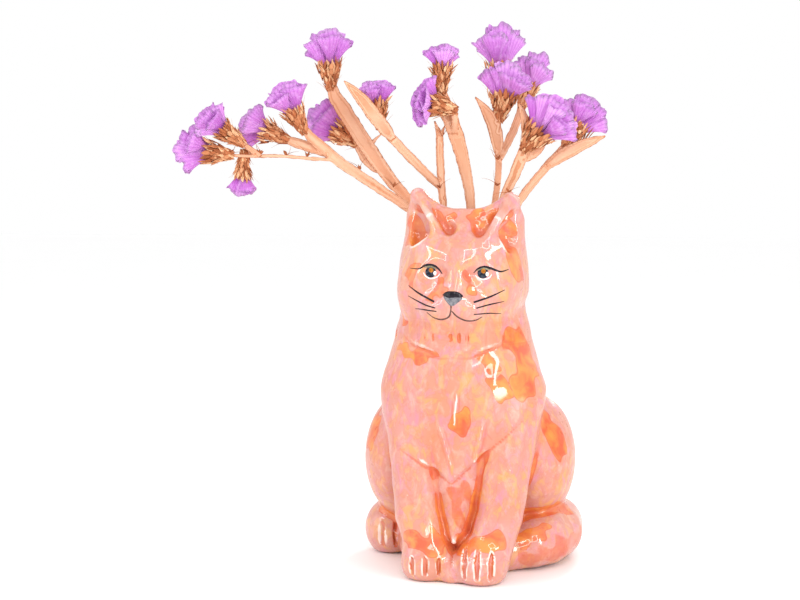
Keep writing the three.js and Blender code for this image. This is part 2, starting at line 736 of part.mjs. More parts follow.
function calyxCrown(frame, { spread, height }) {
  const foot = BRACT_LENGTH + CLEARANCE;
  const profile = [
    [0, BRACT_RADIUS * 0.7, 0],
    [0.35, (BRACT_RADIUS + spread) / 2, 0.06],
    [0.8, spread * 0.92, 0.09],
    [1, spread * 0.7, 0.09],
    [0.85, spread * 0.3, 0],
  ];
  return loft(
    profile.map(([share, radius, ruffle]) =>
      headRing(frame, foot + share * height, radius, CALYX_FLATNESS, 6, ruffle, 12),
    ),
  );
}

// Where a sprig passes the mouth, and where it stands on the floor
const [mouthHalfWidth, mouthHalfDepth] = mouthRadii;
const backLane = mouthHalfDepth - BACK_LANE_INSET;
const middleLane = backLane - LANE_PITCH;
const LANES = { back: backLane, middle: middleLane, front: middleLane - FRONT_LANE_PITCH };
const bellyAtFloor = Math.sqrt(1 - ((FLOOR - BELLY.middle[2]) / BELLY.radii[2]) ** 2);
const floorHalfWidth = BELLY.radii[0] * bellyAtFloor - WALL;

function shankOf({ lane, side, inset, foot }) {
  const y = LANES[lane];
  const rimHalfWidth = mouthHalfWidth * Math.sqrt(1 - (y / mouthHalfDepth) ** 2);
  const mouth = new THREE.Vector3(CROWN_SHIFT + side * (rimHalfWidth - inset), y, rimHeight(y));
  const stand = new THREE.Vector3(foot * floorHalfWidth, y, FLOOR + CLEARANCE);
  return { mouth, stand };
}

// Materials

const finishes = {
  glaze: { color: 0xfbb89c, roughness: 0.15, metalness: 0 },
  stem: { color: 0xd9a67c, roughness: 0.8, metalness: 0 },
  bract: { color: 0xc58a63, roughness: 0.85, metalness: 0 },
  calyx: { color: 0xd58fe0, roughness: 0.75, metalness: 0 },
};

function addMesh(group, name, finish, solid) {
  const mesh = new THREE.Mesh(geometryOf(solid), new THREE.MeshStandardMaterial(finishes[finish]));
  mesh.name = name;
  group.add(mesh);
}

// Assembly

const SHANK_GUIDE = 12;

// Rings up a shank, along a trunk's free run, and along a branch beyond the number of its points
const SHANK_STEPS = 4;
const TRUNK_STEPS = 12;
const BRANCH_SPARE = 2;

function addSprig(group, sprig) {
  const { mouth, stand } = shankOf(sprig);
  const fromMouth = (path) => path.map(([x, y, z]) => new THREE.Vector3(x, y, z).add(mouth));
  const up = mouth.clone().sub(stand).normalize();
  const guide = mouth.clone().addScaledVector(up, -SHANK_GUIDE);
  const points = [stand, stand.clone().lerp(mouth, 0.5), guide, mouth, ...fromMouth(sprig.stem.path)];
  const shank = { rise: mouth.distanceTo(stand), steps: SHANK_STEPS };
  const trunk = stemSolid(points, sprig.stem.wing, { steps: TRUNK_STEPS, shank, pointed: !sprig.stem.head });
  const shoots = [{ ...sprig.stem, ...trunk }];
  for (const { path, wing, core, head } of sprig.branches) {
    const shape = { steps: path.length + BRANCH_SPARE, core, pointed: !head };
    shoots.push({ head, ...stemSolid(fromMouth(path), wing, shape) });
  }
  const stem = shoots.map((shoot) => shoot.solid).reduce((whole, solid) => whole.add(solid));
  addMesh(group, `${sprig.name}_stem`, "stem", stem);
  shoots.filter((shoot) => shoot.head).forEach((shoot, n) => {
    const across = shoot.axis.clone().cross(DEPTH).normalize();
    const frame = {
      axis: shoot.axis,
      across,
      through: shoot.axis.clone().cross(across),
      foot: shoot.end.clone().addScaledVector(shoot.axis, CLEARANCE),
    };
    addMesh(group, `${sprig.name}_bracts_${n + 1}`, "bract", solidFrom(bractCup(frame)));
    addMesh(group, `${sprig.name}_calyx_${n + 1}`, "calyx", solidFrom(calyxCrown(frame, shoot.head)));
  });
}

const catVase = new THREE.Group();
addMesh(catVase, "vase_body", "glaze", vaseSolid());
const bouquet = new THREE.Group();
bouquet.rotation.z = THREE.MathUtils.degToRad(BOUQUET_TURN);
SPRIGS.forEach((sprig) => addSprig(bouquet, sprig));
catVase.add(bouquet);

export default catVase;
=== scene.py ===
# The looks of a sitting cat vase in lustre-glazed ceramic, with a bunch of dried statice standing in it.
# Shapes are worked out in millimetres and built in metres. The cat faces -Y, and +Z is up.

import math
import random

import bmesh
import bpy
import numpy as np
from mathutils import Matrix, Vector, kdtree, noise


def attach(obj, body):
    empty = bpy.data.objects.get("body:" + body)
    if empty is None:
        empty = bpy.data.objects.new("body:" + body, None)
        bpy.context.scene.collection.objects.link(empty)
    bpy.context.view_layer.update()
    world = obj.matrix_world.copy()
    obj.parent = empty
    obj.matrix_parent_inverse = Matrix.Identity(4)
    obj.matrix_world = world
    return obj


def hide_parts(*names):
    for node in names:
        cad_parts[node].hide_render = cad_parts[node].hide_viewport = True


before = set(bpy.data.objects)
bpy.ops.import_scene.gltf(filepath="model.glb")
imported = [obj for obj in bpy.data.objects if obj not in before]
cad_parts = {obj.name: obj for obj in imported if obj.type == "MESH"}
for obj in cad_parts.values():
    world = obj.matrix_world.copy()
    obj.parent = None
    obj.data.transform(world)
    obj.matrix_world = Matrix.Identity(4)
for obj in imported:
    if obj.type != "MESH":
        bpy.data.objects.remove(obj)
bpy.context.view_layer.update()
MM = 0.001
TINY = 1e-6

# Casting: the wall follows the outside, and the floor is flat
WALL = 4.5
FLOOR = 7.0
BASE_ROUNDING = 2.0
RIM_ROUNDING = 3.0

# Body masses, each an ellipsoid with its middle and its three radii
BELLY = ((0, 13, 47), (39, 36, 58))
CHEST = ((-2, -13, 80), (35, 27, 40))
HAUNCH = ((33, 13, 50), (19.5, 32, 31))
HIND_PAW = ((40, 16, 12), (13.5, 15, 15))
FRONT_PAW = ((12.8, -39, 8), (13, 14.5, 12.5))
PAW_BRIDGE = ((-1.8, -41, 4), (7, 9, 9))
BASE = ((2, 4, 8), (36, 38, 17))
GUSSET = ((-1.5, -22, 30), (16, 9, 14))

# Limbs, each a path with a radius at every point
NECK = (((-1.5, -1, 90), (-1.5, -4, 112), (-1.5, -6, 132)), (35.5, 32, 27))
FORELEG = (((24, -15, 86), (21.5, -29, 52), (19.5, -36, 30), (14.5, -39, 14)), (15, 12, 10.8, 10.5))
BIB = (((-1, -20, 66), (-1.5, -27, 44), (-1.5, -35, 22)), (20, 14, 7))
TUFT = (((-1.5, -33, 40), (-1.5, -43.5, 19)), (8, 1.2))
TAIL = (
    (
        (8, 44, 13), (30, 40, 13.5), (42, 24, 14.5), (42.5, 8, 14.5),
        (39, -5, 13.5), (33, -13, 12), (23, -19, 10),
    ),
    (11, 13, 13.8, 13.8, 13, 11.5, 8.5),
)

# Slots part the toes: each one's place across the paw as a share of its half width, its levels and its radii
FRONT_SLOTS = ((-0.5, -0.03, 0.45), (17, 11, 4))
HIND_SLOTS = ((-0.3, 0.2), (17, 11, 5))
SLOT_RADII = (0.6, 1.3, 0.7)

# The front paws lie either side of a middle of their own, one a little ahead of the other
PAW_SHIFT = -1.8
PAW_STAGGER = 2.5

# The coat hangs in layers, a ruff and a drape: a top, a depth at the hem, and the hem's lowest place
RUFF_TOP = 127
RUFF_DEPTH = 2.6
RUFF_HEM = (-2, 105)
RUFF_RISE = 0.014
RUFF_MERGE = 16
RUFF_LEAST = 0.2
DRAPE_TOP = 96
DRAPE_DEPTH = 1.0
DRAPE_HEM = (-3, 46)
DRAPE_RISE = (-0.62, 0.9)
HEM_RISE_BACK = 0.4
HEM_FRONT = 18
HEM_SCALLOP = 0.5
HEM_PITCH = 14
HEM_ROUNDING = 2.5
LAYER_REACH = (14, 32)
LAYER_LEAST = 0.1
LAYER_MOST = 1.2

# Relief worked into the front of the skin below the face: slow dents, and upright strokes of fur on the ruff
RELIEF_TOP = 121
RELIEF_FADE = 5
DENT_DEPTH = 0.1
DENT_WAVES = (((0.52, 0, 0.21), 1.3), ((-0.17, 0, 0.31), 0), ((0.35, 0.27, -0.43), 0))
STROKE_PITCH = 5.2
STROKE_DRIFT = (1.5, 0.35)
STROKE_GAP = 0.55
STROKE_LEVEL = 114
STROKE_REACH = 6
STROKE_DEPTH = 1.1

# Raised lines of fur, sorted by height and width, each from end to end as seen from the front (across, up)
FOLD = (0.6, 0.8)
RIDGE = (0.5, 1.2)
SOFT_RIDGE = (0.7, 2.4)
LINE_TAPER = 0.25
FUR_LINES = {
    FOLD: [((-0.2, 91), (-2.2, 69))],
    RIDGE: [((-11, 80), (-1, 47)), ((13, 80), (6, 48))],
    SOFT_RIDGE: [
        ((28, 76), (15, 67)), ((-34, 90), (-24, 83)), ((-25, 66), (-13, 54)), ((27, 56), (17, 44)),
        ((-26, 42), (-15, 37)), ((25, 36), (14, 30)), ((-49, 52), (-35, 48)), ((-48, 40), (-35, 38)),
        ((36, 46), (49, 52)), ((36, 36), (50, 39)),
    ],
}

# Head masses and limbs, before the face's shear to one side
SKULL = ((-2, -8, 147), (28.8, 30, 27))
CHEEK = ((16.5, -20, 136), (12.5, 15, 15))
MUZZLE = ((0, -31, 129), (13, 10.5, 10))
PUFF = ((6.3, -35.5, 127.5), (7.5, 6.5, 6))
CHIN = ((0, -33, 120.5), (8, 6.5, 5))
NOSE_BRIDGE = (((0, -31, 152), (0, -40, 135)), (6.5, 4))
BROW = (((4, -32, 151), (17, -26, 157)), (5, 5.5))
EYE_SOCKET = ((12.5, -41, 144.5), (8.5, 6, 5))
EYE = ((12.5, -29.5, 144.5), (7.5, 5, 5.2))
FACE_SHIFT = -1.3
FACE_SHEAR = 0.1
FACE_LEVEL = 145

# Ears: a front ridge, an outer edge and an inner edge meet at the tip, with dishes between them
EAR_RIDGE = (((10.5, -31, 160), (16, -27.5, 170), (22, -18.5, 179.5)), (2.0, 2.0, 2.4))
EAR_OUTER = (((24.5, -10, 158), (25, -11.5, 170), (22.5, -15.5, 178.5)), (3.6, 3.4, 3.2))
EAR_INNER = (((22, -17, 179), (9, -21, 171)), (3, 3))
EAR_WEB = ((18, -14, 164), (8.5, 7, 13))
EAR_DISH = (((22, -24.5, 162), (22.5, -24.5, 171), (22, -22.5, 177)), (7.3, 6.2, 2.2))
EAR_FOLD = (((8.5, -31, 166), (12, -29.5, 172), (16.5, -25.5, 178)), (5, 4.5, 2))
EAR_SHEAR = -0.05
EAR_LEVEL = 190
EAR_TILT = 0.045

# Crown and mouth: an oval collar whose rim slopes down to the back
CROWN_SHIFT = -1
CROWN_RADII = (28, 24)
RIM_FRONT = 173.5
RIM_SLOPE = math.radians(16)
CROWN_FOOT = 135

# How softly the masses run into one another
BODY_BLEND = 16
LIMB_BLEND = 5
TUFT_BLEND = 2.5
PAW_BLEND = 3.5
SLOT_BLEND = 0.7
LAYER_BLEND = 1
BASE_BLEND = 8
FACE_BLEND = 6
EAR_BLEND = 3.5
DISH_BLEND = 2
SKULL_BLEND = 12
CROWN_BLEND = 7
SOCKET_BLEND = 2.5

# Fields: a point's signed distance to a form, negative inside


def smooth_min(a, b, k):
    h = np.maximum(k - np.abs(a - b), 0) / k
    return np.minimum(a, b) - h * h * k / 4


def blend(k, *fields):
    def field(x, y, z):
        value = fields[0](x, y, z)
        for other in fields[1:]:
            value = smooth_min(value, other(x, y, z), k)
        return value

    return field


def carve(k, body, cutter):
    return lambda x, y, z: -smooth_min(-body(x, y, z), cutter(x, y, z), k)


def mirrored(field):
    return lambda x, y, z: field(np.abs(x), y, z)


def ellipsoid(form):
    (mx, my, mz), (rx, ry, rz) = form

    def field(x, y, z):
        u, v, w = (x - mx) / rx, (y - my) / ry, (z - mz) / rz
        near = np.sqrt(u * u + v * v + w * w)
        slope = np.sqrt((u / rx) ** 2 + (v / ry) ** 2 + (w / rz) ** 2)
        return near * (near - 1) / np.maximum(slope, TINY)

    return field


def limb(form):
    path, radii = form

    def field(x, y, z):
        nearest = None
        for a, b, ra, rb in zip(path, path[1:], radii, radii[1:]):
            along = np.subtract(b, a)
            px, py, pz = x - a[0], y - a[1], z - a[2]
            t = (px * along[0] + py * along[1] + pz * along[2]) / (along @ along)
            t = np.clip(t, 0, 1)
            off = (px - along[0] * t) ** 2 + (py - along[1] * t) ** 2 + (pz - along[2] * t) ** 2
            reach = np.sqrt(off) - ra - (rb - ra) * t
            nearest = reach if nearest is None else np.minimum(nearest, reach)
        return nearest

    return field


def oval_tube(radii):
    rx, ry = radii
    return lambda x, y, z: (np.sqrt(((x - CROWN_SHIFT) / rx) ** 2 + (y / ry) ** 2) - 1) * min(rx, ry)


def above_rim(x, y, z):
    height = RIM_FRONT - (y + CROWN_RADII[1]) * math.tan(RIM_SLOPE)
    return (height - z) * math.cos(RIM_SLOPE)


def below(level):
    return lambda x, y, z: z - level


def sheared(field):
    return lambda x, y, z: field(x - FACE_SHIFT - FACE_SHEAR * (z - FACE_LEVEL), y, z)


def ear_set(shear, field):
    return lambda x, y, z: field(np.abs(x - shear * (z - EAR_LEVEL)), y, z + EAR_TILT * x)


def staggered(field):
    def field_of_pair(x, y, z):
        across = x - PAW_SHIFT
        return field(np.abs(across), y + np.sign(across) * PAW_STAGGER, z)

    return field_of_pair


def paw(form, slots):
    """A loaf with slots down its front between the toes."""
    (mx, my, mz), (rx, ry, rz) = form
    shares, levels = slots
    cutters = []
    for share in shares:
        room = [1 - share**2 - ((level - mz) / rz) ** 2 for level in levels]
        path = [(mx + share * rx, my - ry * math.sqrt(left), level) for left, level in zip(room, levels)]
        cutters.append(limb((path, SLOT_RADII)))
    return carve(SLOT_BLEND, ellipsoid(form), blend(SLOT_BLEND, *cutters))


torso = blend(BODY_BLEND, ellipsoid(BELLY), ellipsoid(CHEST), limb(NECK))
collar = carve(RIM_ROUNDING, oval_tube(CROWN_RADII), above_rim)
crown = carve(RIM_ROUNDING, collar, below(CROWN_FOOT))
head_mass = blend(CROWN_BLEND, ellipsoid(SKULL), crown)
with_head = blend(SKULL_BLEND, torso, head_mass)
forelegs = mirrored(limb(FORELEG))
limbed = blend(LIMB_BLEND, with_head, mirrored(ellipsoid(HAUNCH)), forelegs, ellipsoid(GUSSET))
with_legs = blend(TUFT_BLEND, limbed, limb(BIB))


def coated(x, y, z):
    """The legs and body, under a ruff and a drape that stand out a little further towards their hems."""
    skin = with_legs(x, y, z)
    back = HEM_RISE_BACK * np.maximum(y + HEM_FRONT, 0)
    ruff_hem = RUFF_HEM[1] + RUFF_RISE * (x - RUFF_HEM[0]) ** 2 + back
    ruff_hem = ruff_hem + HEM_SCALLOP * np.cos(2 * math.pi * (x - RUFF_HEM[0]) / HEM_PITCH)
    off = x - DRAPE_HEM[0]
    drape_hem = DRAPE_HEM[1] + np.maximum(DRAPE_RISE[0] * off, DRAPE_RISE[1] * off) + back
    near, far = LAYER_REACH
    fade = np.clip((far - np.abs(off)) / (far - near), LAYER_LEAST, 1)
    ruff_depth = RUFF_DEPTH * np.clip(np.abs(x - RUFF_HEM[0]) / RUFF_MERGE, RUFF_LEAST, 1)
    value = skin
    for hem, top, depth in ((ruff_hem, RUFF_TOP, ruff_depth), (drape_hem, DRAPE_TOP, DRAPE_DEPTH)):
        lift = fade * depth * np.clip((top - z) / np.maximum(top - hem, 1), 0, LAYER_MOST)
        value = smooth_min(value, -smooth_min(lift - skin, z - hem, HEM_ROUNDING), LAYER_BLEND)
    return value


face = sheared(
    blend(
        FACE_BLEND,
        mirrored(ellipsoid(CHEEK)),
        ellipsoid(MUZZLE),
        mirrored(ellipsoid(PUFF)),
        ellipsoid(CHIN),
        limb(NOSE_BRIDGE),
        mirrored(limb(BROW)),
    )
)
ear_flaps = ear_set(0, blend(EAR_BLEND, limb(EAR_OUTER), limb(EAR_INNER), ellipsoid(EAR_WEB)))
ear_ridges = ear_set(EAR_SHEAR, limb(EAR_RIDGE))
ear_dishes = ear_set(EAR_SHEAR, blend(DISH_BLEND, limb(EAR_DISH), limb(EAR_FOLD)))
sockets = sheared(mirrored(ellipsoid(EYE_SOCKET)))
eyes = sheared(mirrored(ellipsoid(EYE)))

with_tuft = blend(TUFT_BLEND, coated, limb(TUFT))
with_base = blend(BASE_BLEND, with_tuft, ellipsoid(BASE))
front_paws = staggered(paw(FRONT_PAW, FRONT_SLOTS))
hind_paws = mirrored(paw(HIND_PAW, HIND_SLOTS))
with_paws = blend(PAW_BLEND, with_base, front_paws, ellipsoid(PAW_BRIDGE), hind_paws, limb(TAIL))
with_face = blend(FACE_BLEND, carve(SOCKET_BLEND, blend(FACE_BLEND, with_paws, face), sockets), eyes)
with_ears = carve(DISH_BLEND, blend(EAR_BLEND, with_face, ear_flaps), ear_dishes)
cat_field = blend(EAR_BLEND, with_ears, ear_ridges)

mouth_radii = [radius - WALL for radius in CROWN_RADII]
bore = carve(RIM_ROUNDING, oval_tube(mouth_radii), below(CROWN_FOOT))
main_mass = blend(LIMB_BLEND, blend(SKULL_BLEND, torso, ellipsoid(SKULL)), mirrored(ellipsoid(HAUNCH)))


def chamber(x, y, z):
    """The main hollow, kept a wall's thickness under the ears' dishes."""
    room = smooth_min(-WALL - main_mass(x, y, z), ear_dishes(x, y, z) - WALL, RIM_ROUNDING)
    return -room


hollow = carve(BASE_ROUNDING, blend(WALL, chamber, bore), below(FLOOR))


def folded(x, y, z):
    """The cat with the raised lines of fur on its front."""
    height = 0
    for (tall, width), lines in FUR_LINES.items():
        for (top_x, top_z), (foot_x, foot_z) in lines:
            run, drop = foot_x - top_x, foot_z - top_z
            length = math.hypot(run, drop)
            along = ((x - top_x) * run + (z - top_z) * drop) / length**2
            off = ((x - top_x) * drop - (z - top_z) * run) / length / width
            ends = np.clip(np.minimum(along, 1 - along) / LINE_TAPER, 0, 1)
            height = height + tall * np.exp(-(off**2)) * ends
    return cat_field(x, y, z) - height * np.clip(-y / RELIEF_FADE, 0, 1)


def relief(x, y, z):
    """How far the hand-worked skin lies below the smooth one."""
    skin = np.clip((RELIEF_TOP - z) / RELIEF_FADE, 0, 1) * np.clip(-y / RELIEF_FADE, 0, 1)
    first, second, third = (np.sin(a * x + b * y + c * z + turn) for (a, b, c), turn in DENT_WAVES)
    dents = first * second + third
    drift, rate = STROKE_DRIFT
    comb = np.cos(2 * math.pi * (x + drift * np.sin(rate * x)) / STROKE_PITCH) - STROKE_GAP
    band = np.clip(1 - np.abs(z - STROKE_LEVEL) / STROKE_REACH, 0, 1)
    return (DENT_DEPTH * dents + STROKE_DEPTH * np.clip(comb, 0, 1) * band) * skin


def outside(x, y, z):
    return folded(x, y, z) + relief(x, y, z)


vase_field = carve(BASE_ROUNDING, carve(RIM_ROUNDING, outside, hollow), below(0))

# Surfaces: one vertex in each grid cell that the field's zero level crosses, drawn onto that level
SLOPE_STEP = 0.1
SETTLE_ROUNDS = 2
LEAST_STEEPNESS = 0.3


def around(field, points, reach):
    """The field's values ahead of the points and behind them, along each axis."""
    return [(field(*(points + shift).T), field(*(points - shift).T)) for shift in np.eye(3) * reach]


def slope_of(field, points):
    pairs = around(field, points, SLOPE_STEP)
    return np.stack([(ahead - behind) / (2 * SLOPE_STEP) for ahead, behind in pairs], -1)


def grid_lines(stretches):
    lines = [stretches[0][0]]
    for start, end, spacing in stretches:
        count = math.ceil((end - start) / spacing)
        lines.extend(start + (end - start) * (n + 1) / count for n in range(count))
    return np.array(lines)


def surface(field, xs, ys, zs):
    axes = (xs, ys, zs)
    values = field(xs[:, None, None], ys[None, :, None], zs[None, None, :])
    inside = values < 0
    size = np.array(values.shape) - 1
    corners = np.indices((2, 2, 2)).reshape(3, -1).T

    def shifted(array, corner):
        return array[tuple(slice(c, c + n) for c, n in zip(corner, size))]

    count = sum(shifted(inside, corner).astype(np.int8) for corner in corners)
    active = (count > 0) & (count < len(corners))
    cells = np.argwhere(active)
    index = np.full(size, -1)
    index[active] = np.arange(len(cells))

    low = np.stack([lines[cell] for lines, cell in zip(axes, cells.T)], -1)
    high = np.stack([lines[cell + 1] for lines, cell in zip(axes, cells.T)], -1)
    total = np.zeros((len(cells), 3))
    hits = np.zeros(len(cells))
    for axis, step in enumerate(np.eye(3, dtype=int)):
        for corner in corners[corners[:, axis] == 0]:
            a = shifted(values, corner)[active]
            b = shifted(values, corner + step)[active]
            crossed = (a < 0) != (b < 0)
            t = np.where(crossed, a / np.where(crossed, a - b, 1), 0)
            total += (low + (high - low) * (corner + np.outer(t, step))) * crossed[:, None]
            hits += crossed
    points = total / hits[:, None]
    for _ in range(SETTLE_ROUNDS):
        slope = slope_of(field, points)
        steepness = np.maximum((slope**2).sum(-1), LEAST_STEEPNESS)
        points = points - slope * (field(*points.T) / steepness)[:, None]
        points = np.clip(points, low, high)

    faces = []
    for axis in range(3):
        u, v = (axis + 1) % 3, (axis + 2) % 3
        near = inside[tuple(slice(0, -1) if n == axis else slice(1, -1) for n in range(3))]
        far = inside[tuple(slice(1, None) if n == axis else slice(1, -1) for n in range(3))]
        edges = np.argwhere(near != far)
        edges[:, u] += 1
        edges[:, v] += 1
        ring = []
        for du, dv in ((1, 1), (0, 1), (0, 0), (1, 0)):
            cell = edges.copy()
            cell[:, u] -= du
            cell[:, v] -= dv
            ring.append(index[tuple(cell.T)])
        quads = np.stack(ring, -1)
        solid_first = inside[tuple(edges.T)]
        quads[~solid_first] = quads[~solid_first][:, ::-1]
        faces.append(quads)
    return points, np.concatenate(faces)


# Mesh pieces


def loft(rings):
    """A closed skin over a row of rings of points, with a fan at each end."""
    rings = np.asarray(rings, dtype=float)
    rows, count, _ = rings.shape
    points = np.concatenate([rings.reshape(-1, 3), rings[0].mean(0)[None], rings[-1].mean(0)[None]])
    first, last = rows * count, rows * count + 1
    faces = []
    for j in range(count):
        after = (j + 1) % count
        for i in range(rows - 1):
            faces.append((i * count + j, i * count + after, (i + 1) * count + after, (i + 1) * count + j))
        faces.append((first, after, j))
        faces.append((last, (rows - 1) * count + j, (rows - 1) * count + after))
    return points, faces


def turns(count):
    """Even angles all the way round."""
    return np.linspace(0, 2 * math.pi, count, endpoint=False)


def merge(parts):
    points, faces, total = [], [], 0
    for part_points, part_faces in parts:
        points.append(part_points)
        faces.extend(tuple(n + total for n in face) for face in part_faces)
        total += len(part_points)
    return np.concatenate(points), faces


def placed(name, data):
    """A new object in the scene."""
    thing = bpy.data.objects.new(name, data)
    bpy.context.scene.collection.objects.link(thing)
    return thing


def add_piece(name, points, faces, material):
    mesh = bpy.data.meshes.new(name)
    mesh.from_pydata((np.asarray(points) * MM).tolist(), [], [tuple(face) for face in faces])
    mesh.materials.append(material)
    mesh.validate()
    mesh.shade_smooth()
    return placed(name, mesh)


def set_attribute(piece, name, values):
    attribute = piece.data.attributes.new(name, "FLOAT", "POINT")
    attribute.data.foreach_set("value", np.asarray(values, dtype=np.float32))


def seat(piece, body, slot, *nodes):
    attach(piece, body)
    if nodes:
        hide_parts(*nodes)


# Materials
GAMMA = 2.2


def rgb(red, green, blue):
    return tuple((c / 255) ** GAMMA for c in (red, green, blue)) + (1,)


class Look:
    """A material whose nodes are made one call at a time."""

    def __init__(self, name):
        self.material = bpy.data.materials.new(name)
        self.material.use_nodes = True
        self.tree = self.material.node_tree
        self.shader = self.tree.nodes["Principled BSDF"]
        self.coords = self.node("TexCoord").outputs["Object"]

    def node(self, kind, **values):
        node = self.tree.nodes.new(f"ShaderNode{kind}")
        for name, value in values.items():
            node.inputs[name].default_value = value
        return node

    def link(self, source, target):
        self.tree.links.new(source, target)

    def set(self, **values):
        for name, value in values.items():
            self.shader.inputs[name.replace("_", " ")].default_value = value

    def stretched(self, scale):
        node = self.node("Mapping", Scale=scale)
        self.link(self.coords, node.inputs["Vector"])
        return node.outputs["Vector"]

    def noise(self, scale, detail=3.0, warp=0.0, vector=None):
        node = self.node("TexNoise", Scale=scale, Detail=detail, Distortion=warp)
        self.link(vector or self.coords, node.inputs["Vector"])
        return node.outputs["Fac"]

    def attribute(self, name):
        node = self.node("Attribute")
        node.attribute_name = name
        return node.outputs["Fac"]

    def gloss(self, *stops):
        """A ramp from the surface seen head-on to the surface seen from the side."""
        return self.ramp(self.node("LayerWeight").outputs["Facing"], *stops)

    def streaks(self, name, pitch, length):
        """Noise drawn out along the lines on which an attribute keeps its value."""
        node = self.node("TexNoise", Scale=1.0)
        node.noise_dimensions = "4D"
        count = self.node("Math")
        count.operation = "DIVIDE"
        count.inputs[1].default_value = pitch
        self.link(self.attribute(name), count.inputs[0])
        self.link(count.outputs[0], node.inputs["W"])
        self.link(self.stretched((1 / length,) * 3), node.inputs["Vector"])
        return node.outputs["Fac"]

    def ramp(self, source, *stops):
        node = self.node("ValToRGB")
        elements = node.color_ramp.elements
        for n, (place, colour) in enumerate(stops):
            element = elements[n] if n < len(elements) else elements.new(place)
            element.position = place
            element.color = colour if isinstance(colour, tuple) else (colour, colour, colour, 1)
        self.link(source, node.inputs["Fac"])
        return node.outputs["Color"]

    def mix(self, share, first, second):
        node = self.node("Mix")
        node.data_type = "RGBA"
        # A mix node keeps its sockets for colours at these places
        for source, target in ((share, node.inputs[0]), (first, node.inputs[6]), (second, node.inputs[7])):
            if isinstance(source, (tuple, float)):
                target.default_value = source
            else:
                self.link(source, target)
        return node.outputs[2]

    def colour(self, source):
        self.link(source, self.shader.inputs["Base Color"])

    def roughness(self, source, low, high):
        self.link(self.ramp(source, (0.3, low), (0.7, high)), self.shader.inputs["Roughness"])

    def bump(self, source, strength, distance):
        node = self.node("Bump", Strength=strength, Distance=distance)
        self.link(source, node.inputs["Height"])
        self.link(node.outputs["Normal"], self.shader.inputs["Normal"])


def glaze_look():
    look = Look("lustre_glaze")
    look.set(Specular_IOR_Level=0.15, Coat_IOR=1.6)
    brush = look.stretched((1.2, 1.2, 0.75))

    # A salmon ground with dabs of yellow, blooms of pink, pale clouds, and tide lines round dabs and blooms
    cloud = look.ramp(look.noise(42, 4, 0.6, brush), (0.36, rgb(208, 137, 110)), (0.62, rgb(206, 141, 132)))
    dabs, blooms = look.noise(150, 5, 0.9, brush), look.noise(120, 4, 1.2, brush)
    colour = look.mix(look.ramp(dabs, (0.5, 0.0), (0.66, 0.7)), cloud, rgb(219, 158, 88))
    colour = look.mix(look.ramp(blooms, (0.52, 0.0), (0.7, 0.6)), colour, rgb(210, 130, 160))
    pale = look.ramp(look.noise(230, 4, 0.6, brush), (0.5, 0.0), (0.72, 0.6))
    colour = look.mix(pale, colour, rgb(219, 172, 154))
    for tide in (dabs, blooms):
        colour = look.mix(look.ramp(tide, (0.51, 0.0), (0.53, 0.25), (0.56, 0.0)), colour, rgb(204, 104, 84))

    # Orange in hollows, partly glaze pooled there and partly painted shade, and patches of painted reflection
    # and painted shade, with ragged, darker rims
    ragged = look.mix(0.12, look.attribute("pool_shade_and_reflection"), look.noise(140, 4, 0.5))
    pool_shade_and_reflection = look.ramp(ragged, (0.36, 0.0), (0.5, 0.8), (0.8, 1.0))
    depth = look.ramp(look.noise(110, 4, 0.8), (0.36, rgb(210, 92, 58)), (0.64, rgb(226, 140, 66)))
    colour = look.mix(pool_shade_and_reflection, colour, depth)
    rim = look.ramp(ragged, (0.4, 0.0), (0.47, 0.7), (0.6, 0.0))
    colour = look.mix(rim, colour, rgb(202, 84, 50))

    # Deeper colour in creases, partly glaze pooled there and partly painted shade, and paler edges, partly
    # where glaze thins and partly painted highlight
    bend = look.attribute("bend")
    colour = look.mix(look.ramp(bend, (0.3, 0.65), (0.46, 0.0)), colour, rgb(204, 98, 70))
    look.colour(look.mix(look.ramp(bend, (0.71, 0.0), (0.87, 0.9)), colour, rgb(246, 222, 212)))

    # A clear coat that dulls to satin, and shows less where the surface turns away
    look.roughness(look.noise(300, 3), 0.25, 0.4)
    satin = look.attribute("satin")
    look.link(look.ramp(satin, (0.0, 0.02), (1.0, 0.35)), look.shader.inputs["Coat Roughness"])
    coat = look.mix(satin, look.gloss((0.45, 1.0), (0.85, 0.3)), (0.3, 0.3, 0.3, 1))
    look.link(coat, look.shader.inputs["Coat Weight"])
    look.bump(look.noise(70, 2, 0.4), 0.12, 0.002)
    return look.material


def enamel_look(name, first, second):
    look = Look(name)
    look.set(Specular_IOR_Level=0.1, Coat_Weight=0.2, Coat_Roughness=0.03)
    look.colour(look.ramp(look.noise(900, 3), (0.35, rgb(*first)), (0.65, rgb(*second))))
    look.roughness(look.noise(500, 2), 0.15, 0.3)
    return look.material
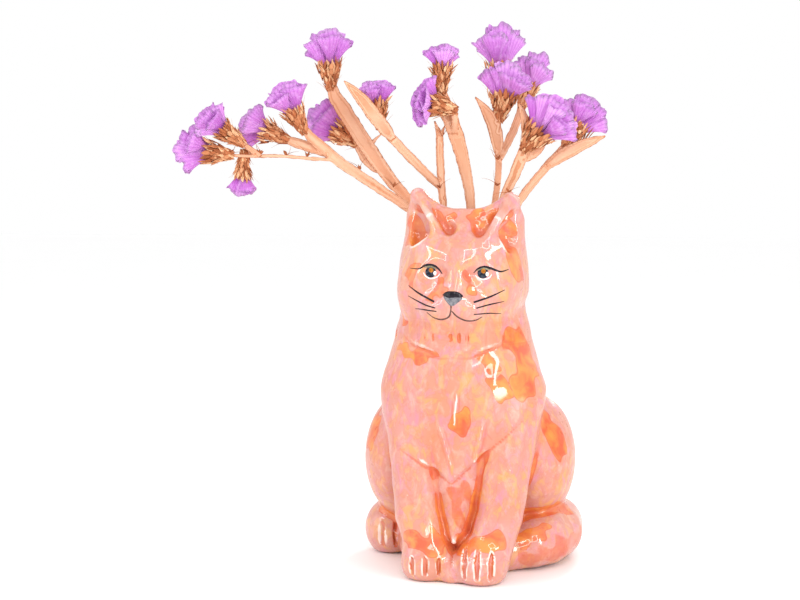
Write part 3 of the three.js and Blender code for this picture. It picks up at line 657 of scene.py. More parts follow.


# The vase

# Deeper orange in hollows, partly glaze pooled there and partly painted shade, and in patches of painted
# reflection and painted shade: a path, its reach and its strength
SHADE_AND_REFLECTION_PATCHES = [
    (((-21.5, -18, 161), (-23, -17, 165)), 5.5, 1.0),
    (((18, -20, 161), (22, -18, 164)), 5, 1.0),
    (((-8, -25, 166), (-5, -25, 171)), 3.5, 0.7),
    (((9, -26, 164), (8, -25, 172)), 4, 1.0),
    (((24, -26, 158), (26, -24, 145)), 6.5, 0.9),
    (((25, -26, 113), (30, -22, 102), (28, -28, 90)), 7, 1.0),
    (((12, -38, 105), (18, -36, 101)), 3, 0.9),
    (((17, -38, 93), (21, -36, 88)), 4, 0.9),
    (((-30, -26, 110), (-22, -33, 106), (-13, -37, 105)), 3, 1.0),
    (((2, -42, 78), (0, -42, 73)), 4.2, 0.85),
    (((-47, -3, 71), (-46, -5, 62)), 6, 0.9),
    (((43, -10, 72), (46, -8, 60)), 6.5, 1.0),
    (((-21, -45, 19), (-8, -47, 19)), 5.5, 0.9),
    (((5, -48, 19), (17, -47, 20)), 5.5, 0.9),
    (((-23, -33, 145), (-22, -34, 141)), 3, 0.8),
    (((-9, -38, 141), (-10, -39, 135)), 4, 0.75),
    (((4, -39, 142), (6, -40, 136)), 4, 0.75),
    (((0, -39, 42), (0, -40, 28)), 6, 0.44),
    (((28, -25, 17), (40, -18, 22)), 4, 0.8),
    (((-31, 2, 24), (-42, 6, 24)), 3.5, 0.9),
    (((-29, -20, 125), (-27, -23, 116)), 2.5, 0.8),
    (((34, -8, 26), (50, 4, 27)), 3, 0.9),
    (((30, -24, 8), (46, -16, 10), (56, 2, 12)), 7, 0.43),
]
PATCH_FADE = (0.7, 1.3)
HOLLOW_REACH = 4.0
HOLLOW_EDGE = 0.85
HOLLOW_GAIN = 1.8
TOE_LEVEL = 17
TOE_POOL_AND_SHADE = 0.65
WARP_WAVES = (((0.42, 0.31, 0.2), 1.5), ((-0.3, 0.5, 0.45), 1.1), ((0.75, -0.4, 0.6), 0.35))


def warped(points):
    """Shifts the points by slow waves, so that a patch's edge wanders."""
    shift = np.zeros_like(points)
    for n, (wave, reach) in enumerate(WARP_WAVES):
        phase = points @ np.array(wave)
        shift += reach * np.stack([np.sin(phase + n), np.cos(phase + 2 * n), np.sin(phase - n)], -1)
    return points + shift


# Glaze pooled in hollows with painted shade there, and the patches of painted reflection and painted shade
def pool_shade_and_reflection_at(points, normals):
    room = cat_field(*(points + normals * HOLLOW_REACH).T) / HOLLOW_REACH
    pool_shade_and_reflection = np.clip((HOLLOW_EDGE - room) * HOLLOW_GAIN, 0, 1)
    pool_shade_and_reflection = pool_shade_and_reflection * np.where(points[:, 2] < TOE_LEVEL, TOE_POOL_AND_SHADE, 1)
    places = warped(points).T
    near, far = PATCH_FADE
    for path, reach, strength in SHADE_AND_REFLECTION_PATCHES:
        distance = limb((path, (0,) * len(path)))(*places) / reach
        pool_shade_and_reflection = np.maximum(pool_shade_and_reflection, strength * np.clip((far - distance) / (far - near), 0, 1))
    return pool_shade_and_reflection


# The glaze is duller down the legs, on the ruff and on the left of the chest: from, to and how far right
SATIN_BANDS = ((26, 88, 60), (107, 126, 60), (70, 110, 8))
SATIN_FADE = 5
BEND_REACH = 0.8


def satin_at(points):
    x, _, z = points.T
    depths = [np.minimum(np.minimum(z - low, high - z), right - x) for low, high, right in SATIN_BANDS]
    return np.clip(np.max(depths, axis=0) / SATIN_FADE, 0, 1)


def highlight_and_shade_at(points):
    """How sharply the surface turns: over a half on edges, paler where glaze thins and with painted
    highlight, and under it in creases, darker with painted shade.
    """
    total = np.sum(around(folded, points, BEND_REACH), axis=(0, 1))
    return 0.5 + (total - 6 * folded(*points.T)) / (2 * BEND_REACH**2)


# The grid's lines across, from front to back and up, closer where the sculpt is fine: from, to and spacing
GRID = (
    ((-62, -31, 1.6), (-31, 31, 1.0), (31, 62, 1.6)),
    ((-64, -8, 1.0), (-8, 60, 2.3)),
    ((-4, 26, 1.0), (26, 104, 1.15), (104, 190, 1.0)),
)

points, faces = surface(vase_field, *(grid_lines(stretches) for stretches in GRID))
normals = slope_of(vase_field, points)
normals /= np.maximum(np.linalg.norm(normals, axis=-1, keepdims=True), TINY)
vase = add_piece("vase_glazed", points, faces, glaze_look())
vase.data.normals_split_custom_set_from_vertices(normals.tolist())
# The painted shade and painted reflection, with the glaze's pooling, kept on the vase
set_attribute(vase, "pool_shade_and_reflection", pool_shade_and_reflection_at(points, normals))
set_attribute(vase, "satin", satin_at(points))
# Painted highlight on edges and painted shade in creases, kept on the vase
set_attribute(vase, "bend", highlight_and_shade_at(points))
seat(vase, "vase", "glaze", "vase_body")

# The painted face: strokes and filled shapes laid on the glaze, given as seen from the front (across, up)
PAINT_HEIGHT = 0.1
PAINT_ROOT = 0.3
LAYER = 0.06
STROKE_STEP = 0.4
STROKE_PROFILE = ((1, 0), (0.5, 0.8), (0, 1), (-0.5, 0.8), (-1, 0))
FILL_ROOT = 0.9
FILL_PROFILE = ((1, 0), (0.85, 0.8), (0.5, 1), (0.1, 1))
DOT_SIDES = 12

# How deep the face lies, on an even grid over its front, found by stepping in towards it
FACE_ACROSS = np.arange(-32, 32, 0.5)
FACE_UP = np.arange(112, 158, 0.5)
FACE_FRONT = -60.0
FACE_STEPS = 40
STEP_SHARE = 0.7
FACE_REACH = 0.25


def face_depths():
    x, z = np.meshgrid(FACE_ACROSS, FACE_UP, indexing="ij")
    y = np.full(x.shape, FACE_FRONT)
    for _ in range(FACE_STEPS):
        y = y + STEP_SHARE * cat_field(x, y, z)
    return y


FACE_DEPTHS = face_depths()


def between_lines(lines, values):
    place = (values - lines[0]) / (lines[1] - lines[0])
    cell = np.clip(np.floor(place).astype(int), 0, len(lines) - 2)
    return cell, place - cell


def depth_at(x, z):
    (i, u), (k, v) = between_lines(FACE_ACROSS, x), between_lines(FACE_UP, z)
    low = FACE_DEPTHS[i, k] * (1 - u) + FACE_DEPTHS[i + 1, k] * u
    high = FACE_DEPTHS[i, k + 1] * (1 - u) + FACE_DEPTHS[i + 1, k + 1] * u
    return low * (1 - v) + high * v


def on_face(flat, height):
    x, z = flat.T
    across = (depth_at(x + FACE_REACH, z) - depth_at(x - FACE_REACH, z)) / (2 * FACE_REACH)
    up = (depth_at(x, z + FACE_REACH) - depth_at(x, z - FACE_REACH)) / (2 * FACE_REACH)
    normals = np.stack([across, -np.ones(len(flat)), up], -1)
    normals /= np.linalg.norm(normals, axis=-1, keepdims=True)
    return np.stack([x, depth_at(x, z), z], -1) + normals * height


def resampled(points, values):
    """Even steps along a smooth curve through the points, with the values that go with them."""
    points = np.asarray(points, dtype=float)
    padded = np.concatenate([[2 * points[0] - points[1]], points, [2 * points[-1] - points[-2]]])
    flat, carried = [], []
    for n in range(1, len(points)):
        p0, p1, p2, p3 = padded[n - 1 : n + 3]
        count = max(2, math.ceil(np.linalg.norm(p2 - p1) / STROKE_STEP))
        for t in np.arange(count) / count:
            smooth = 2 * p1 + (p2 - p0) * t + (2 * p0 - 5 * p1 + 4 * p2 - p3) * t**2
            flat.append((smooth + (3 * p1 - p0 - 3 * p2 + p3) * t**3) / 2)
            carried.append(values[n - 1] + (values[n] - values[n - 1]) * t)
    return np.array(flat + [points[-1]]), np.array(carried + [values[-1]])


def stroke(points, widths):
    flat, width = resampled(points, widths)
    along = np.gradient(flat, axis=0)
    along /= np.linalg.norm(along, axis=-1, keepdims=True)
    side = np.stack([-along[:, 1], along[:, 0]], -1)
    rows = []
    for share, height in STROKE_PROFILE:
        edge = flat + side * (share * width / 2)[:, None]
        rows.append(on_face(edge, height * PAINT_HEIGHT))
    rows.append(on_face(flat, -PAINT_ROOT))
    return loft(np.stack(rows, 1))


def filled(outline, lift=0.0):
    outline = np.asarray(outline, dtype=float)
    closed = np.concatenate([outline, outline[:1]])
    edge, _ = resampled(closed, [1] * len(closed))
    edge = edge[:-1]
    middle = edge.mean(0)
    rings = [on_face(middle + (edge - middle) * FILL_ROOT, lift - PAINT_ROOT)]
    for share, height in FILL_PROFILE:
        rings.append(on_face(middle + (edge - middle) * share, height * PAINT_HEIGHT + lift))
    return loft(rings)


DARK_STROKES = [
    (
        [(-24.2, 146.3), (-19.3, 146.3), (-15.9, 148.1), (-12, 147.9), (-9.4, 145.8), (-8.2, 144)],
        [0.25, 0.6, 1.1, 1.1, 0.9, 0.4],
    ),
    (
        [(6.6, 144.6), (8.7, 146.7), (11.6, 147.5), (14.8, 146.7), (18.9, 145.2), (22.3, 146)],
        [0.4, 0.9, 1.1, 1.1, 0.8, 0.35],
    ),
    ([(-24.5, 138.2), (-18.5, 134.3), (-11.3, 131.3)], [0.35, 1.0, 0.9]),
    ([(-24.7, 133.3), (-18, 130.2), (-10.7, 128.5)], [0.3, 0.8, 0.6]),
    ([(-21.3, 127.2), (-15.5, 127.3), (-10.1, 126.9)], [0.35, 0.7, 0.5]),
    ([(7.1, 131.2), (14, 133.4), (20.9, 136.6)], [0.9, 0.9, 0.35]),
    ([(8.3, 128.5), (14.5, 129.9), (20.5, 131.1)], [0.6, 0.75, 0.3]),
    ([(7.2, 125.6), (13, 125.6), (18.9, 125.2)], [0.5, 0.6, 0.3]),
]
MOUTH_STROKES = [
    (
        [(-3.2, 129.6), (-3.3, 127.4), (-4.4, 124.4), (-7.6, 123.1), (-11.3, 123.8), (-14.9, 126.2)],
        [0.7, 0.8, 0.8, 0.75, 0.6, 0.35],
    ),
    (
        [(-3.3, 127.4), (-0.3, 124.5), (3.8, 122.6), (7.8, 122.7), (10.7, 124.1)],
        [0.7, 0.8, 0.75, 0.6, 0.35],
    ),
]
NOSE_TOP = [
    (-7.5, 134.6), (-5.4, 136.2), (-2.2, 136.5), (0.6, 135.9),
    (2.4, 134), (0, 133.2), (-2.6, 133), (-5.2, 133.4),
]
NOSE_LOWER = [(-7, 134), (-2.5, 134), (2, 133.4), (0.4, 131.4), (-2.9, 129.4), (-5.4, 131.6)]
IRISES = [(-13.6, 144.8), (10.9, 144.6)]
IRIS_RADIUS = 2.6
PUPIL_SHIFT = (0.2, 0.9)
PUPIL_RADIUS = 1.2
CATCH_SHIFT = (2.0, -0.5)
CATCH_RADIUS = 0.75
CATCH_SQUASH = 1.4
LID_SHADE = [0.5, 1.2, 0.5]
LID_SHADES = [
    ([(-16.6, 147), (-13.6, 147.4), (-10.8, 146.2)], LID_SHADE),
    ([(8.2, 145.7), (11.2, 146.7), (14.2, 146)], LID_SHADE),
]
# White lines along the lower lids: painted highlights
LOWER_LID_HIGHLIGHT = [0.3, 0.6, 0.7, 0.6, 0.3]
LOWER_LID_HIGHLIGHTS = [
    ([(-17.2, 144.6), (-16, 142.9), (-13.6, 141.8), (-10.6, 142.6), (-9.2, 144.2)], LOWER_LID_HIGHLIGHT),
    ([(7.4, 143.6), (8.6, 142.4), (10.9, 141.6), (13.8, 142.4), (15, 144)], LOWER_LID_HIGHLIGHT),
]

PAINTS = {
    "ink": ((24, 22, 28), (46, 40, 48)),
    "sepia": ((84, 62, 58), (110, 84, 76)),
    "iris": ((28, 32, 42), (64, 70, 84)),
    "slate": ((96, 98, 106), (140, 138, 142)),
    "olive": ((112, 108, 86), (150, 142, 116)),
    "amber": ((150, 88, 24), (186, 118, 44)),
    "white": ((255, 250, 246), (246, 240, 240)),
}


def eye_dots(radius, shift=(0, 0), squash=1.0, lift=0.0):
    """A dot of paint on each eye."""
    angles = turns(DOT_SIDES)
    ring = radius * np.stack([np.cos(angles), squash * np.sin(angles)], -1)
    return [filled(ring + np.add(middle, shift), lift) for middle in IRISES]


def add_paint(name, paint, shapes):
    points, faces = merge(shapes)
    seat(add_piece(name, points, faces, enamel_look(f"enamel_{name}", *PAINTS[paint])), "vase", "glaze")


add_paint("lids_and_whiskers", "ink", [stroke(*line) for line in DARK_STROKES])
add_paint("mouth_line", "sepia", [stroke(*line) for line in MOUTH_STROKES])
add_paint("nose_lower", "slate", [filled(NOSE_LOWER)])
add_paint("nose_top", "ink", [filled(NOSE_TOP)])
add_paint("lid_shade", "olive", [stroke(*line) for line in LID_SHADES])
# The painted highlights along the lower lids
add_paint("lower_lid_highlights", "white", [stroke(*line) for line in LOWER_LID_HIGHLIGHTS])
add_paint("irises", "iris", eye_dots(IRIS_RADIUS))
add_paint("pupils", "amber", eye_dots(PUPIL_RADIUS, PUPIL_SHIFT, lift=LAYER))
add_paint("catch_lights", "white", eye_dots(CATCH_RADIUS, CATCH_SHIFT, CATCH_SQUASH, 2 * LAYER))

# Dried statice: every sprig takes its places and sizes from the frame's solids. The view is turned a little
VIEW_TURN = math.radians(8.5)
SEED = 7
rng = random.Random(SEED)

# Stems: the solid's mesh is split finer, and its wings' edges are waved and frayed
WELD_REACH = 0.001 * MM
STEM_STEP = 1.4 * MM
SPLIT_ROUNDS = 6
SMOOTH_ROUNDS = 3
SMOOTHING = 0.5
WING_EDGE = math.radians(62)
WING_WAVE = 0.5 * MM
WING_FRAY = 0.35 * MM
WAVE_LENGTH = 6 * MM
FRAY_LENGTH = WAVE_LENGTH / 2.3
FRAY_SHIFT = Vector((5, 3, 1))
INSET_REACH = 2.2
FIBRE_PITCH = 0.42
FIBRE_LENGTH = 0.03


def stem_look():
    look = Look("dry_stem")
    look.set(Specular_IOR_Level=0.25)
    fibre = look.streaks("inset", FIBRE_PITCH, FIBRE_LENGTH)
    shades = (0.34, rgb(198, 132, 96)), (0.48, rgb(219, 163, 131)), (0.66, rgb(232, 186, 155))
    colour = look.ramp(fibre, *shades)
    warm = look.ramp(look.noise(40, 3, 0.5), (0.45, 0.0), (0.75, 0.4))
    colour = look.mix(warm, colour, rgb(218, 146, 108))
    look.colour(look.mix(look.attribute("edge"), colour, rgb(190, 116, 78)))
    look.roughness(look.noise(250, 2), 0.55, 0.8)
    look.bump(fibre, 0.3, 0.0004)
    return look.material


def bract_look():
    look = Look("dry_bract")
    look.set(Specular_IOR_Level=0.25)
    fibre = look.noise(700, 4, 0.8)
    tint = look.ramp(
        look.attribute("tint"),
        (0.0, rgb(138, 76, 46)),
        (0.3, rgb(182, 106, 68)),
        (0.65, rgb(212, 146, 104)),
        (1.0, rgb(242, 196, 152)),
    )
    look.colour(look.mix(look.ramp(fibre, (0.4, 0.0), (0.7, 0.5)), tint, rgb(168, 98, 62)))
    look.roughness(look.noise(250, 2), 0.6, 0.85)
    look.bump(fibre, 0.4, 0.0003)
    return look.material


def calyx_look():
    look = Look("statice_calyx")
    look.set(Specular_IOR_Level=0.2, Sheen_Weight=0.2)
    # Rosier at the foot, darkest a third of the way up and paler to the rim: the paper's own colour, with
    # painted shade low in each fan among the others
    body = look.ramp(
        look.attribute("rise"),
        (0.0, rgb(200, 122, 150)),
        (0.35, rgb(184, 100, 190)),
        (0.8, rgb(204, 132, 210)),
        (1.0, rgb(222, 164, 230)),
    )
    tints = (0.0, rgb(166, 76, 178)), (0.5, rgb(204, 128, 212)), (1.0, rgb(226, 168, 234))
    colour = look.mix(0.5, body, look.ramp(look.attribute("tint"), *tints))
    vein = look.ramp(look.attribute("vein"), (0.55, 0.0), (1.0, 0.5))
    colour = look.mix(vein, colour, rgb(164, 78, 178))
    # Random paler patches on the paper: painted highlights
    pale_highlights = look.ramp(look.noise(380, 4, 0.7), (0.5, 0.0), (0.75, 0.45))
    look.colour(look.mix(pale_highlights, colour, rgb(228, 178, 236)))
    look.roughness(look.noise(300, 2), 0.55, 0.8)
    look.bump(look.attribute("vein"), 0.5, 0.0003)
    return look.material


STEM_LOOK, BRACT_LOOK, CALYX_LOOK = stem_look(), bract_look(), calyx_look()


def split_form(node):
    """A node's mesh in the shared frame, with its edges split down to the stem's step."""
    form = bmesh.new()
    form.from_mesh(node.data)
    form.transform(node.matrix_world)
    bmesh.ops.remove_doubles(form, verts=form.verts, dist=WELD_REACH)
    for _ in range(SPLIT_ROUNDS):
        long = [edge for edge in form.edges if edge.calc_length() > STEM_STEP]
        if not long:
            break
        bmesh.ops.subdivide_edges(form, edges=long, cuts=1)
        bmesh.ops.triangulate(form, faces=form.faces)
    form.normal_update()
    return form


def wing_tips(form):
    """The points on the wings' edges, each with the way its edge runs."""
    tips = {}
    for edge in form.edges:
        if len(edge.link_faces) == 2 and edge.calc_face_angle_signed(0) > WING_EDGE:
            along = (edge.verts[1].co - edge.verts[0].co).normalized()
            for vert in edge.verts:
                known = tips.get(vert)
                tips[vert] = along if known is None else known + along * (1 if known.dot(along) > 0 else -1)
    return tips


def add_stem(sprig):
    """A winged stem in place of its solid. Returns the points of its skin."""
    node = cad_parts[f"{sprig}_stem"]
    form = split_form(node)
    tips = wing_tips(form)
    core = [vert for vert in form.verts if vert not in tips]
    axes = {"use_axis_x": True, "use_axis_y": True, "use_axis_z": True}
    for _ in range(SMOOTH_ROUNDS):
        bmesh.ops.smooth_vert(form, verts=core, factor=SMOOTHING, **axes)
    moves = {}
    for vert, along in tips.items():
        through = vert.normal.cross(along.normalized())
        wave = noise.noise(vert.co / WAVE_LENGTH) * WING_WAVE
        fray = noise.noise(vert.co / FRAY_LENGTH + FRAY_SHIFT) * WING_FRAY
        moves[vert] = through * wave + vert.normal * fray
    for vert, move in moves.items():
        vert.co += move
    form.verts.index_update()
    edges = [float(vert in tips) for vert in form.verts]
    rims = kdtree.KDTree(len(tips))
    for n, vert in enumerate(tips):
        rims.insert(vert.co, n)
    rims.balance()
    insets = [min(INSET_REACH, rims.find(vert.co)[2] / MM) for vert in form.verts]
    skin = np.array([vert.co for vert in form.verts]) / MM
    mesh = bpy.data.meshes.new(f"{sprig}_winged_stem")
    form.to_mesh(mesh)
    form.free()
    mesh.materials.append(STEM_LOOK)
    mesh.shade_smooth()
    piece = placed(mesh.name, mesh)
    set_attribute(piece, "edge", edges)
    set_attribute(piece, "inset", insets)
    seat(piece, f"{sprig}_sprig", "stem", node.name)
    return skin


def unit(vector):
    return vector / np.linalg.norm(vector)


def drawn(*ranges):
    """A random value within each of the ranges."""
    return [rng.uniform(*span) for span in ranges]


def node_points(name):
    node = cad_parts[name]
    return np.array([node.matrix_world @ vert.co for vert in node.data.vertices]) / MM


class Head:
    """A flower head's place and size, measured from its two solids."""

    def __init__(self, sprig, number):
        bracts = node_points(f"{sprig}_bracts_{number}")
        calyx = node_points(f"{sprig}_calyx_{number}")
        middle = bracts.mean(0)
        self.axis = unit(calyx.mean(0) - middle)
        self.foot = middle + self.axis * ((bracts - middle) @ self.axis).min()
        bracts, calyx = bracts - self.foot, calyx - self.foot
        flat = calyx - np.outer(calyx @ self.axis, self.axis)
        self.across = np.linalg.svd(flat - flat.mean(0))[2][0]
        self.through = np.cross(self.axis, self.across)
        self.spread = np.abs(flat @ self.across).max()
        self.cup = (bracts @ self.axis).max()
        self.height = (calyx @ self.axis).max()


# Scales and hairs: rows and sides, and shares of their length or half width
SCALE_ROWS = 6
SCALE_SIDES = 6
SCALE_SPAN = 0.82
SCALE_FULLNESS = 0.8
SCALE_TIP = 0.06
SCALE_KEEL = 0.35
SCALE_THICKNESS = 0.3
HAIR_ROWS = 10
HAIR_SIDES = 4
HAIR_CURVE = 0.5
HAIR_TIP = 0.3


def swept(base, run, bend, halves, profile):
    """A profile carried along a run that bends away, with its half width at even steps."""
    steps = np.linspace(0, 1, len(halves))
    return loft([base + run * s + bend * s * s + half * profile for s, half in zip(steps, halves)])


def scale_leaf(base, direction, flat, length, width, curl):
    """A pointed, keeled scale that grows from its base and curls outwards."""
    across = unit(flat - direction * (flat @ direction))
    keel = np.cross(direction, across)
    angles = turns(SCALE_SIDES)
    rise = SCALE_THICKNESS * np.sin(angles) + SCALE_KEEL * np.abs(np.cos(angles))
    profile = np.outer(np.cos(angles), across) + np.outer(rise, keel)
    bulge = np.sin(math.pi * (1 - SCALE_SPAN * np.linspace(1, 0, SCALE_ROWS))) ** SCALE_FULLNESS
    halves = width / 2 * np.maximum(SCALE_TIP, bulge)
    return swept(base, direction * length, keel * curl * length, halves, profile)


def hair(base, direction, bend, length, width):
    """A thin hair that curves away and tapers."""
    angles = turns(HAIR_SIDES)
    profile = np.outer(np.cos(angles), np.cross(direction, bend)) + np.outer(np.sin(angles), bend)
    halves = width / 2 * np.linspace(1, HAIR_TIP, HAIR_ROWS)
    return swept(base, direction * length, bend * length * HAIR_CURVE, halves, profile)


def add_scales(name, sprig, scales, *nodes):
    """One piece of many scales, each given as its leaf and its tint."""
    points, faces = merge([leaf for leaf, _ in scales])
    piece = add_piece(name, points, faces, BRACT_LOOK)
    set_attribute(piece, "tint", np.concatenate([np.full(len(leaf[0]), tint) for leaf, tint in scales]))
    seat(piece, f"{sprig}_sprig", "bract", *nodes)


# A head's bracts: a cup of scales in a spiral, slim at its foot and wide under the petals, with stray hairs
BRACTS = 150
BRACT_HAIRS = 10
GOLDEN_ANGLE = math.pi * (3 - math.sqrt(5))
CUP_FOOT = 2.2
CUP_TOP = 0.72
CUP_FILL = (0.4, 1)
CUP_INSET = 0.85
CUP_LEVEL = 0.75
CUP_FLATNESS = 0.7
SHEATH_LENGTH = 5.5
FLARE = (0.1, 0.35)
FLARE_SPREAD = (0.2, 1.2)
STRAY = (-0.28, 0.28)
BRACT_HAIR_WIDTH = 0.3

# Ranges of a bract's length (in cups), width, curl and tint, and of a hair's length and tint
BRACT = ((0.35, 0.65), (1.1, 2.8), (-0.12, 0.16), (0, 1))
BRACT_HAIR = ((4, 8), (0.2, 0.6))


def add_bracts(sprig, number, head):
    scales = []
    for n in range(BRACTS):
        level = n / (BRACTS - 1)
        turn = n * GOLDEN_ANGLE
        out = head.across * math.cos(turn) + head.through * math.sin(turn) * CUP_FLATNESS
        radius = CUP_FOOT + (CUP_TOP * head.spread - CUP_FOOT) * level * rng.uniform(*CUP_FILL)
        height = level * (CUP_LEVEL * head.cup + SHEATH_LENGTH) - SHEATH_LENGTH
        base = head.foot + head.axis * height + out * radius * CUP_INSET
        stray = np.array(drawn(STRAY, STRAY, STRAY))
        flare = (FLARE[0] + FLARE[1] * level) * rng.uniform(*FLARE_SPREAD)
        direction = unit(head.axis + out * flare + stray)
        if n % (BRACTS // BRACT_HAIRS) == 0:
            length, tint = drawn(*BRACT_HAIR)
            scales.append((hair(base, direction, out, length, BRACT_HAIR_WIDTH), tint))
        length, width, curl, tint = drawn(*BRACT)
        leaf = scale_leaf(base, direction, np.cross(direction, out), length * head.cup, width, curl)
        scales.append((leaf, tint))
    add_scales(f"{sprig}_scales_{number}", sprig, scales, f"{sprig}_bracts_{number}")


# A petal fan: a pleated funnel of thin paper, with lobes and notches along its edge
FAN_ROWS = 6
FAN_SIDES = 90
PAPER = 0.12
PAPER_DROP = 0.6
FAN_FOOT = 0.7
FAN_FLARE = 1.3
FAN_FLATNESS = (0.26, 0.42)
OVAL = 0.08
PLEAT = 0.09
PLEATS = 9
VEINS = 18
LOBES = 5
NOTCH = 0.05
CRIMP = 0.016
CRUMPLE = 0.05
CRUMPLES = 3
DOME = 0.2
DOME_LEVEL = 0.6
FULL_TURN = (0, 2 * math.pi)


def calyx_fan(base, direction, across, length, radius):
    """A papery, pleated funnel with a scalloped, domed edge: its outside, and back down its inside."""
    through = np.cross(direction, across)
    angles = turns(FAN_SIDES)
    lobe, pleat, crumple = drawn(FULL_TURN, FULL_TURN, FULL_TURN)
    flatness = rng.uniform(*FAN_FLATNESS)
    scallop = np.abs(np.cos(LOBES / 2 * angles + lobe)) - 1
    folds = np.cos(PLEATS * angles + pleat)
    edge = NOTCH * scallop + CRIMP * folds + DOME * (np.abs(np.sin(angles)) - DOME_LEVEL)
    edge = edge + CRUMPLE * np.cos(CRUMPLES * angles + crumple)
    outline = OVAL * np.cos(2 * angles + crumple) + NOTCH * scallop
    rings = []
    outer = [(n / (FAN_ROWS - 1), 0.0) for n in range(FAN_ROWS)]
    inner = [(n / (FAN_ROWS - 1), PAPER) for n in range(FAN_ROWS - 1, 0, -1)]
    for s, inset in outer + inner:
        reach = FAN_FOOT + (radius - FAN_FOOT) * s**FAN_FLARE - inset
        reach = reach * (1 + s * outline) + PLEAT * s * folds
        along = length * s * (1 + edge * s**3) - PAPER_DROP * inset
        ring = base + np.outer(along, direction) + np.outer(reach * np.cos(angles), across)
        rings.append(ring + np.outer(reach * np.sin(angles) * flatness, through))
    rise = np.repeat([s for s, _ in outer + inner], FAN_SIDES)
    vein = np.tile(0.5 - 0.5 * np.cos(VEINS * angles + pleat), len(rings))
    ends = (0, 0)
    return *loft(rings), np.append(rise, ends), np.append(vein, ends)


# A crown of fans: how many to a millimetre of spread, and how they stand, in shares of the spread
FAN_CROWD = 0.4
LEAST_FANS = 3
FAN_WIDEST = 0.64
FAN_INSET = 0.4
ROOT_SPREAD = 0.3
CROWN_DROP = 0.45

# Ranges of a crown fan's place and depth, of a side fan's place, depth and height, and of every fan's radius,
# height, root and twist
CROWN_FAN = ((0.3, 0.7), (-0.25, 0.25))
SIDE_FAN = ((-0.75, 0.75), (0.3, 0.5), (0.6, 0.85))
FAN = ((5.4, 7.6), (0.88, 1.0), (0.6, 0.85), (-0.35, 0.35))


def add_calyx(sprig, number, head):
    """Fans side by side along the crown of the head, then a shorter row before and behind them."""
    crown = max(LEAST_FANS, round(head.spread * FAN_CROWD))
    places = []
    for n in range(crown):
        place, depth = drawn(*CROWN_FAN)
        places.append(((n + place) / crown * 2 - 1, depth, 1.0))
    for n in range(crown - 1):
        share, depth, tall = drawn(*SIDE_FAN)
        places.append((share, depth if n % 2 else -depth, tall))
    fans = []
    for share, depth, tall in places:
        widest, height, root, twist = drawn(*FAN)
        radius = min(widest, FAN_WIDEST * head.spread)
        level = tall * (1 - CROWN_DROP * share**2) * height
        base = head.foot + head.axis * head.cup * root + head.across * share * ROOT_SPREAD * head.spread
        tip = head.foot + head.axis * (head.cup + (head.height - head.cup) * level)
        tip = tip + head.across * share * (head.spread - FAN_INSET * radius)
        tip = tip + head.through * depth * head.spread
        reach = np.linalg.norm(tip - base)
        direction = (tip - base) / reach
        across = unit(np.cross(direction, head.through + twist * head.across))
        points, faces, rise, vein = calyx_fan(base, direction, across, reach, radius)
        fans.append((points, faces, rise, vein, np.full(len(points), rng.random())))
    piece = add_piece(f"{sprig}_petals_{number}", *merge([fan[:2] for fan in fans]), CALYX_LOOK)
    for name, values in zip(("rise", "vein", "tint"), list(zip(*fans))[2:]):
        set_attribute(piece, name, np.concatenate(values))
    seat(piece, f"{sprig}_sprig", "calyx", f"{sprig}_calyx_{number}")


# Tufts of small dark scales and hairs where branches leave a stem, placed in the frame that faces the view
STEM_NODES = {
    "left_low": [
        (-26, 5, 171), (-51, 3, 194), (-88, -1, 200),
        (-78, -1, 200), (-101, -3, 200), (-115, -4, 200),
    ],
    "left_high": [(-37, 11, 184)],
    "centre_thin": [(-13.5, 6.5, 184), (-12, 5.5, 209)],
    "right_thin": [(15, 11.5, 185), (15.5, 12, 197.5)],
    "right_wide": [(19, -4, 181)],
}
TUFT_SCALES = 4
TUFT_HAIRS = 2
TUFT_HAIR_FRONT = -0.3
TUFT_HAIR_WIDTH = 0.35

# Ranges of a tuft scale's way, length, width, curl, twist and tint, and of a hair's way, length and tint
TUFT_SCALE = ((-0.8, 0.8), (-1, 0.2), (0.5, 1), (1.8, 3.2), (0.8, 1.3), (-0.1, 0.2), (-0.5, 0.5), (0, 0.3))
TUFT_HAIR_WAY = ((-0.9, 0.9), (0.3, 1))
TUFT_HAIR = ((5, 9), (0, 0.4))


def turned(x, y, z):
    """A point or direction of the frame that faces the view, in the shared frame."""
    cos, sin = math.cos(VIEW_TURN), math.sin(VIEW_TURN)
    return np.array((x * cos - y * sin, x * sin + y * cos, z))


def add_stem_nodes(sprig, skin):
    """Tufts at the points of the stem's skin that lie nearest to the places."""
    scales = []
    for place in STEM_NODES.get(sprig, []):
        base = skin[np.linalg.norm(skin - turned(*place), axis=1).argmin()]
        for _ in range(TUFT_SCALES):
            *way, length, width, curl, twist, tint = drawn(*TUFT_SCALE)
            leaf = scale_leaf(base, unit(turned(*way)), turned(1, 0, twist), length, width, curl)
            scales.append((leaf, tint))
        for _ in range(TUFT_HAIRS):
            side, rise = drawn(*TUFT_HAIR_WAY)
            way = unit(turned(side, TUFT_HAIR_FRONT, rise))
            bend = unit(np.cross(way, turned(0, 1, 0))) * rng.choice((-1, 1))
            length, tint = drawn(*TUFT_HAIR)
            scales.append((hair(base, way, bend, length, TUFT_HAIR_WIDTH), tint))
    if scales:
        add_scales(f"{sprig}_nodes", sprig, scales)


SPRIGS = sorted(name.removesuffix("_stem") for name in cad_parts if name.endswith("_stem"))
for sprig in SPRIGS:
    add_stem_nodes(sprig, add_stem(sprig))
    heads = sum(name.startswith(f"{sprig}_calyx_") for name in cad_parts)
    for number in range(1, heads + 1):
        head = Head(sprig, number)
        add_bracts(sprig, number, head)
        add_calyx(sprig, number, head)

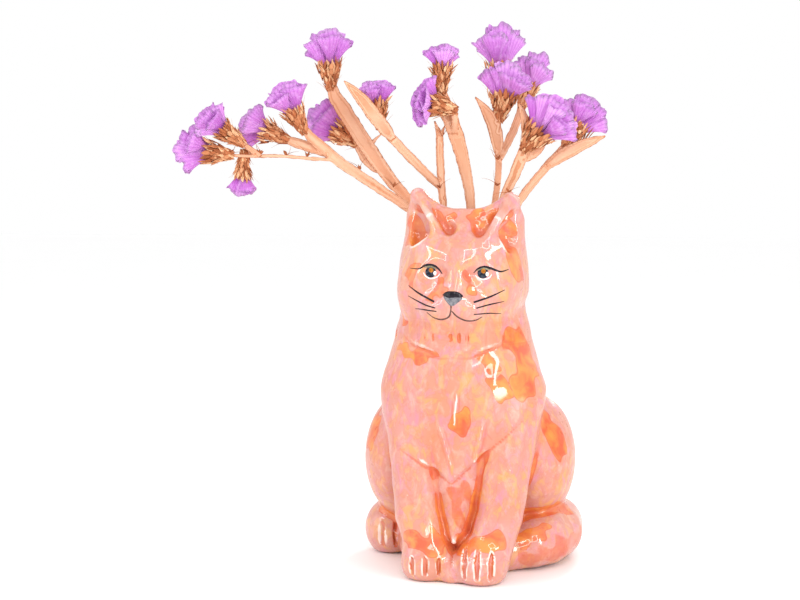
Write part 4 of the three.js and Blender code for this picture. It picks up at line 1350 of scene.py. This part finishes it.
# Stage, light and camera
VIEW_PITCH = math.radians(4.5)
VIEW_DISTANCE = 800 * MM
VIEW_HEIGHT = 192 * MM
VIEW_SIDE = -33.2 * MM
FOCAL_PIXELS = 1640
IMAGE_WIDTH = 800
SENSOR_WIDTH = 36
STAGE_REACH = 4.0

floor_mesh = bpy.data.meshes.new("floor")
sides = (-STAGE_REACH, STAGE_REACH)
floor_mesh.from_pydata([(x, y, 0) for x in sides for y in sides], [], [(0, 2, 3, 1)])
floor = placed("floor", floor_mesh)
floor_look = Look("pale_floor")
floor_look.colour(floor_look.ramp(floor_look.noise(3), (0.3, 0.996), (0.7, 1.0)))
floor_look.set(Roughness=0.7)
floor_mesh.materials.append(floor_look.material)

world = bpy.data.worlds.new("studio")
world.use_nodes = True
background = world.node_tree.nodes["Background"]
background.inputs["Color"].default_value = (1, 1, 1, 1)
background.inputs["Strength"].default_value = 1.0
bpy.context.scene.world = world

# What the lights are aimed at
CHEST_SIDE = (0.02, -0.035, 0.095)
LEFT_BROW = (-0.012, -0.036, 0.152)
FOREHEAD = (0.0, -0.036, 0.156)
NAPE = (0.0, 0.025, 0.11)


def add_light(name, target, azimuth, elevation, distance, size, glow):
    """A soft box that faces its target, with an even glow. The azimuth counts to the right of the front."""
    turn, rise = math.radians(azimuth), math.radians(elevation)
    way = Vector((math.cos(rise) * math.sin(turn), -math.cos(rise) * math.cos(turn), math.sin(rise)))
    data = bpy.data.lights.new(name, "AREA")
    data.shape = "RECTANGLE"
    data.size, data.size_y = size
    data.energy = glow * math.pi * size[0] * size[1]
    light = placed(name, data)
    light.location = Vector(target) + way * distance
    light.rotation_euler = way.to_track_quat("Z", "Y").to_euler()


def add_frame(name, target, azimuth, elevation, distance, half, bar, glow):
    """A soft box's bright edge: four bars, each the given half angle from its middle."""
    length = 2 * distance * math.sin(math.radians(half))
    for side in (-1, 1):
        add_light(f"{name}_upright", target, azimuth + side * half, elevation, distance, (bar, length), glow)
        add_light(f"{name}_level", target, azimuth, elevation + side * half, distance, (length, bar), glow)


add_light("right_strip", CHEST_SIDE, 51, 12, 0.7, (0.09, 0.27), 14)
add_light("left_fill", CHEST_SIDE, -75, 15, 1.2, (0.7, 0.7), 1.2)
add_frame("left_frame", LEFT_BROW, -50, 20, 0.7, 9, 0.035, 9)
add_frame("right_frame", FOREHEAD, 26, 28, 0.8, 15, 0.05, 8)
add_light("back_strip", NAPE, 165, 25, 0.7, (0.12, 0.4), 9)

camera_data = bpy.data.cameras.new("camera")
camera_data.sensor_width = SENSOR_WIDTH
camera_data.lens = FOCAL_PIXELS * SENSOR_WIDTH / IMAGE_WIDTH
camera = placed("camera", camera_data)
camera.location = turned(VIEW_SIDE, -VIEW_DISTANCE, VIEW_HEIGHT)
camera.rotation_euler = (math.pi / 2 - VIEW_PITCH, 0, VIEW_TURN)
bpy.context.scene.camera = camera
bpy.context.scene.view_settings.view_transform = "Standard"
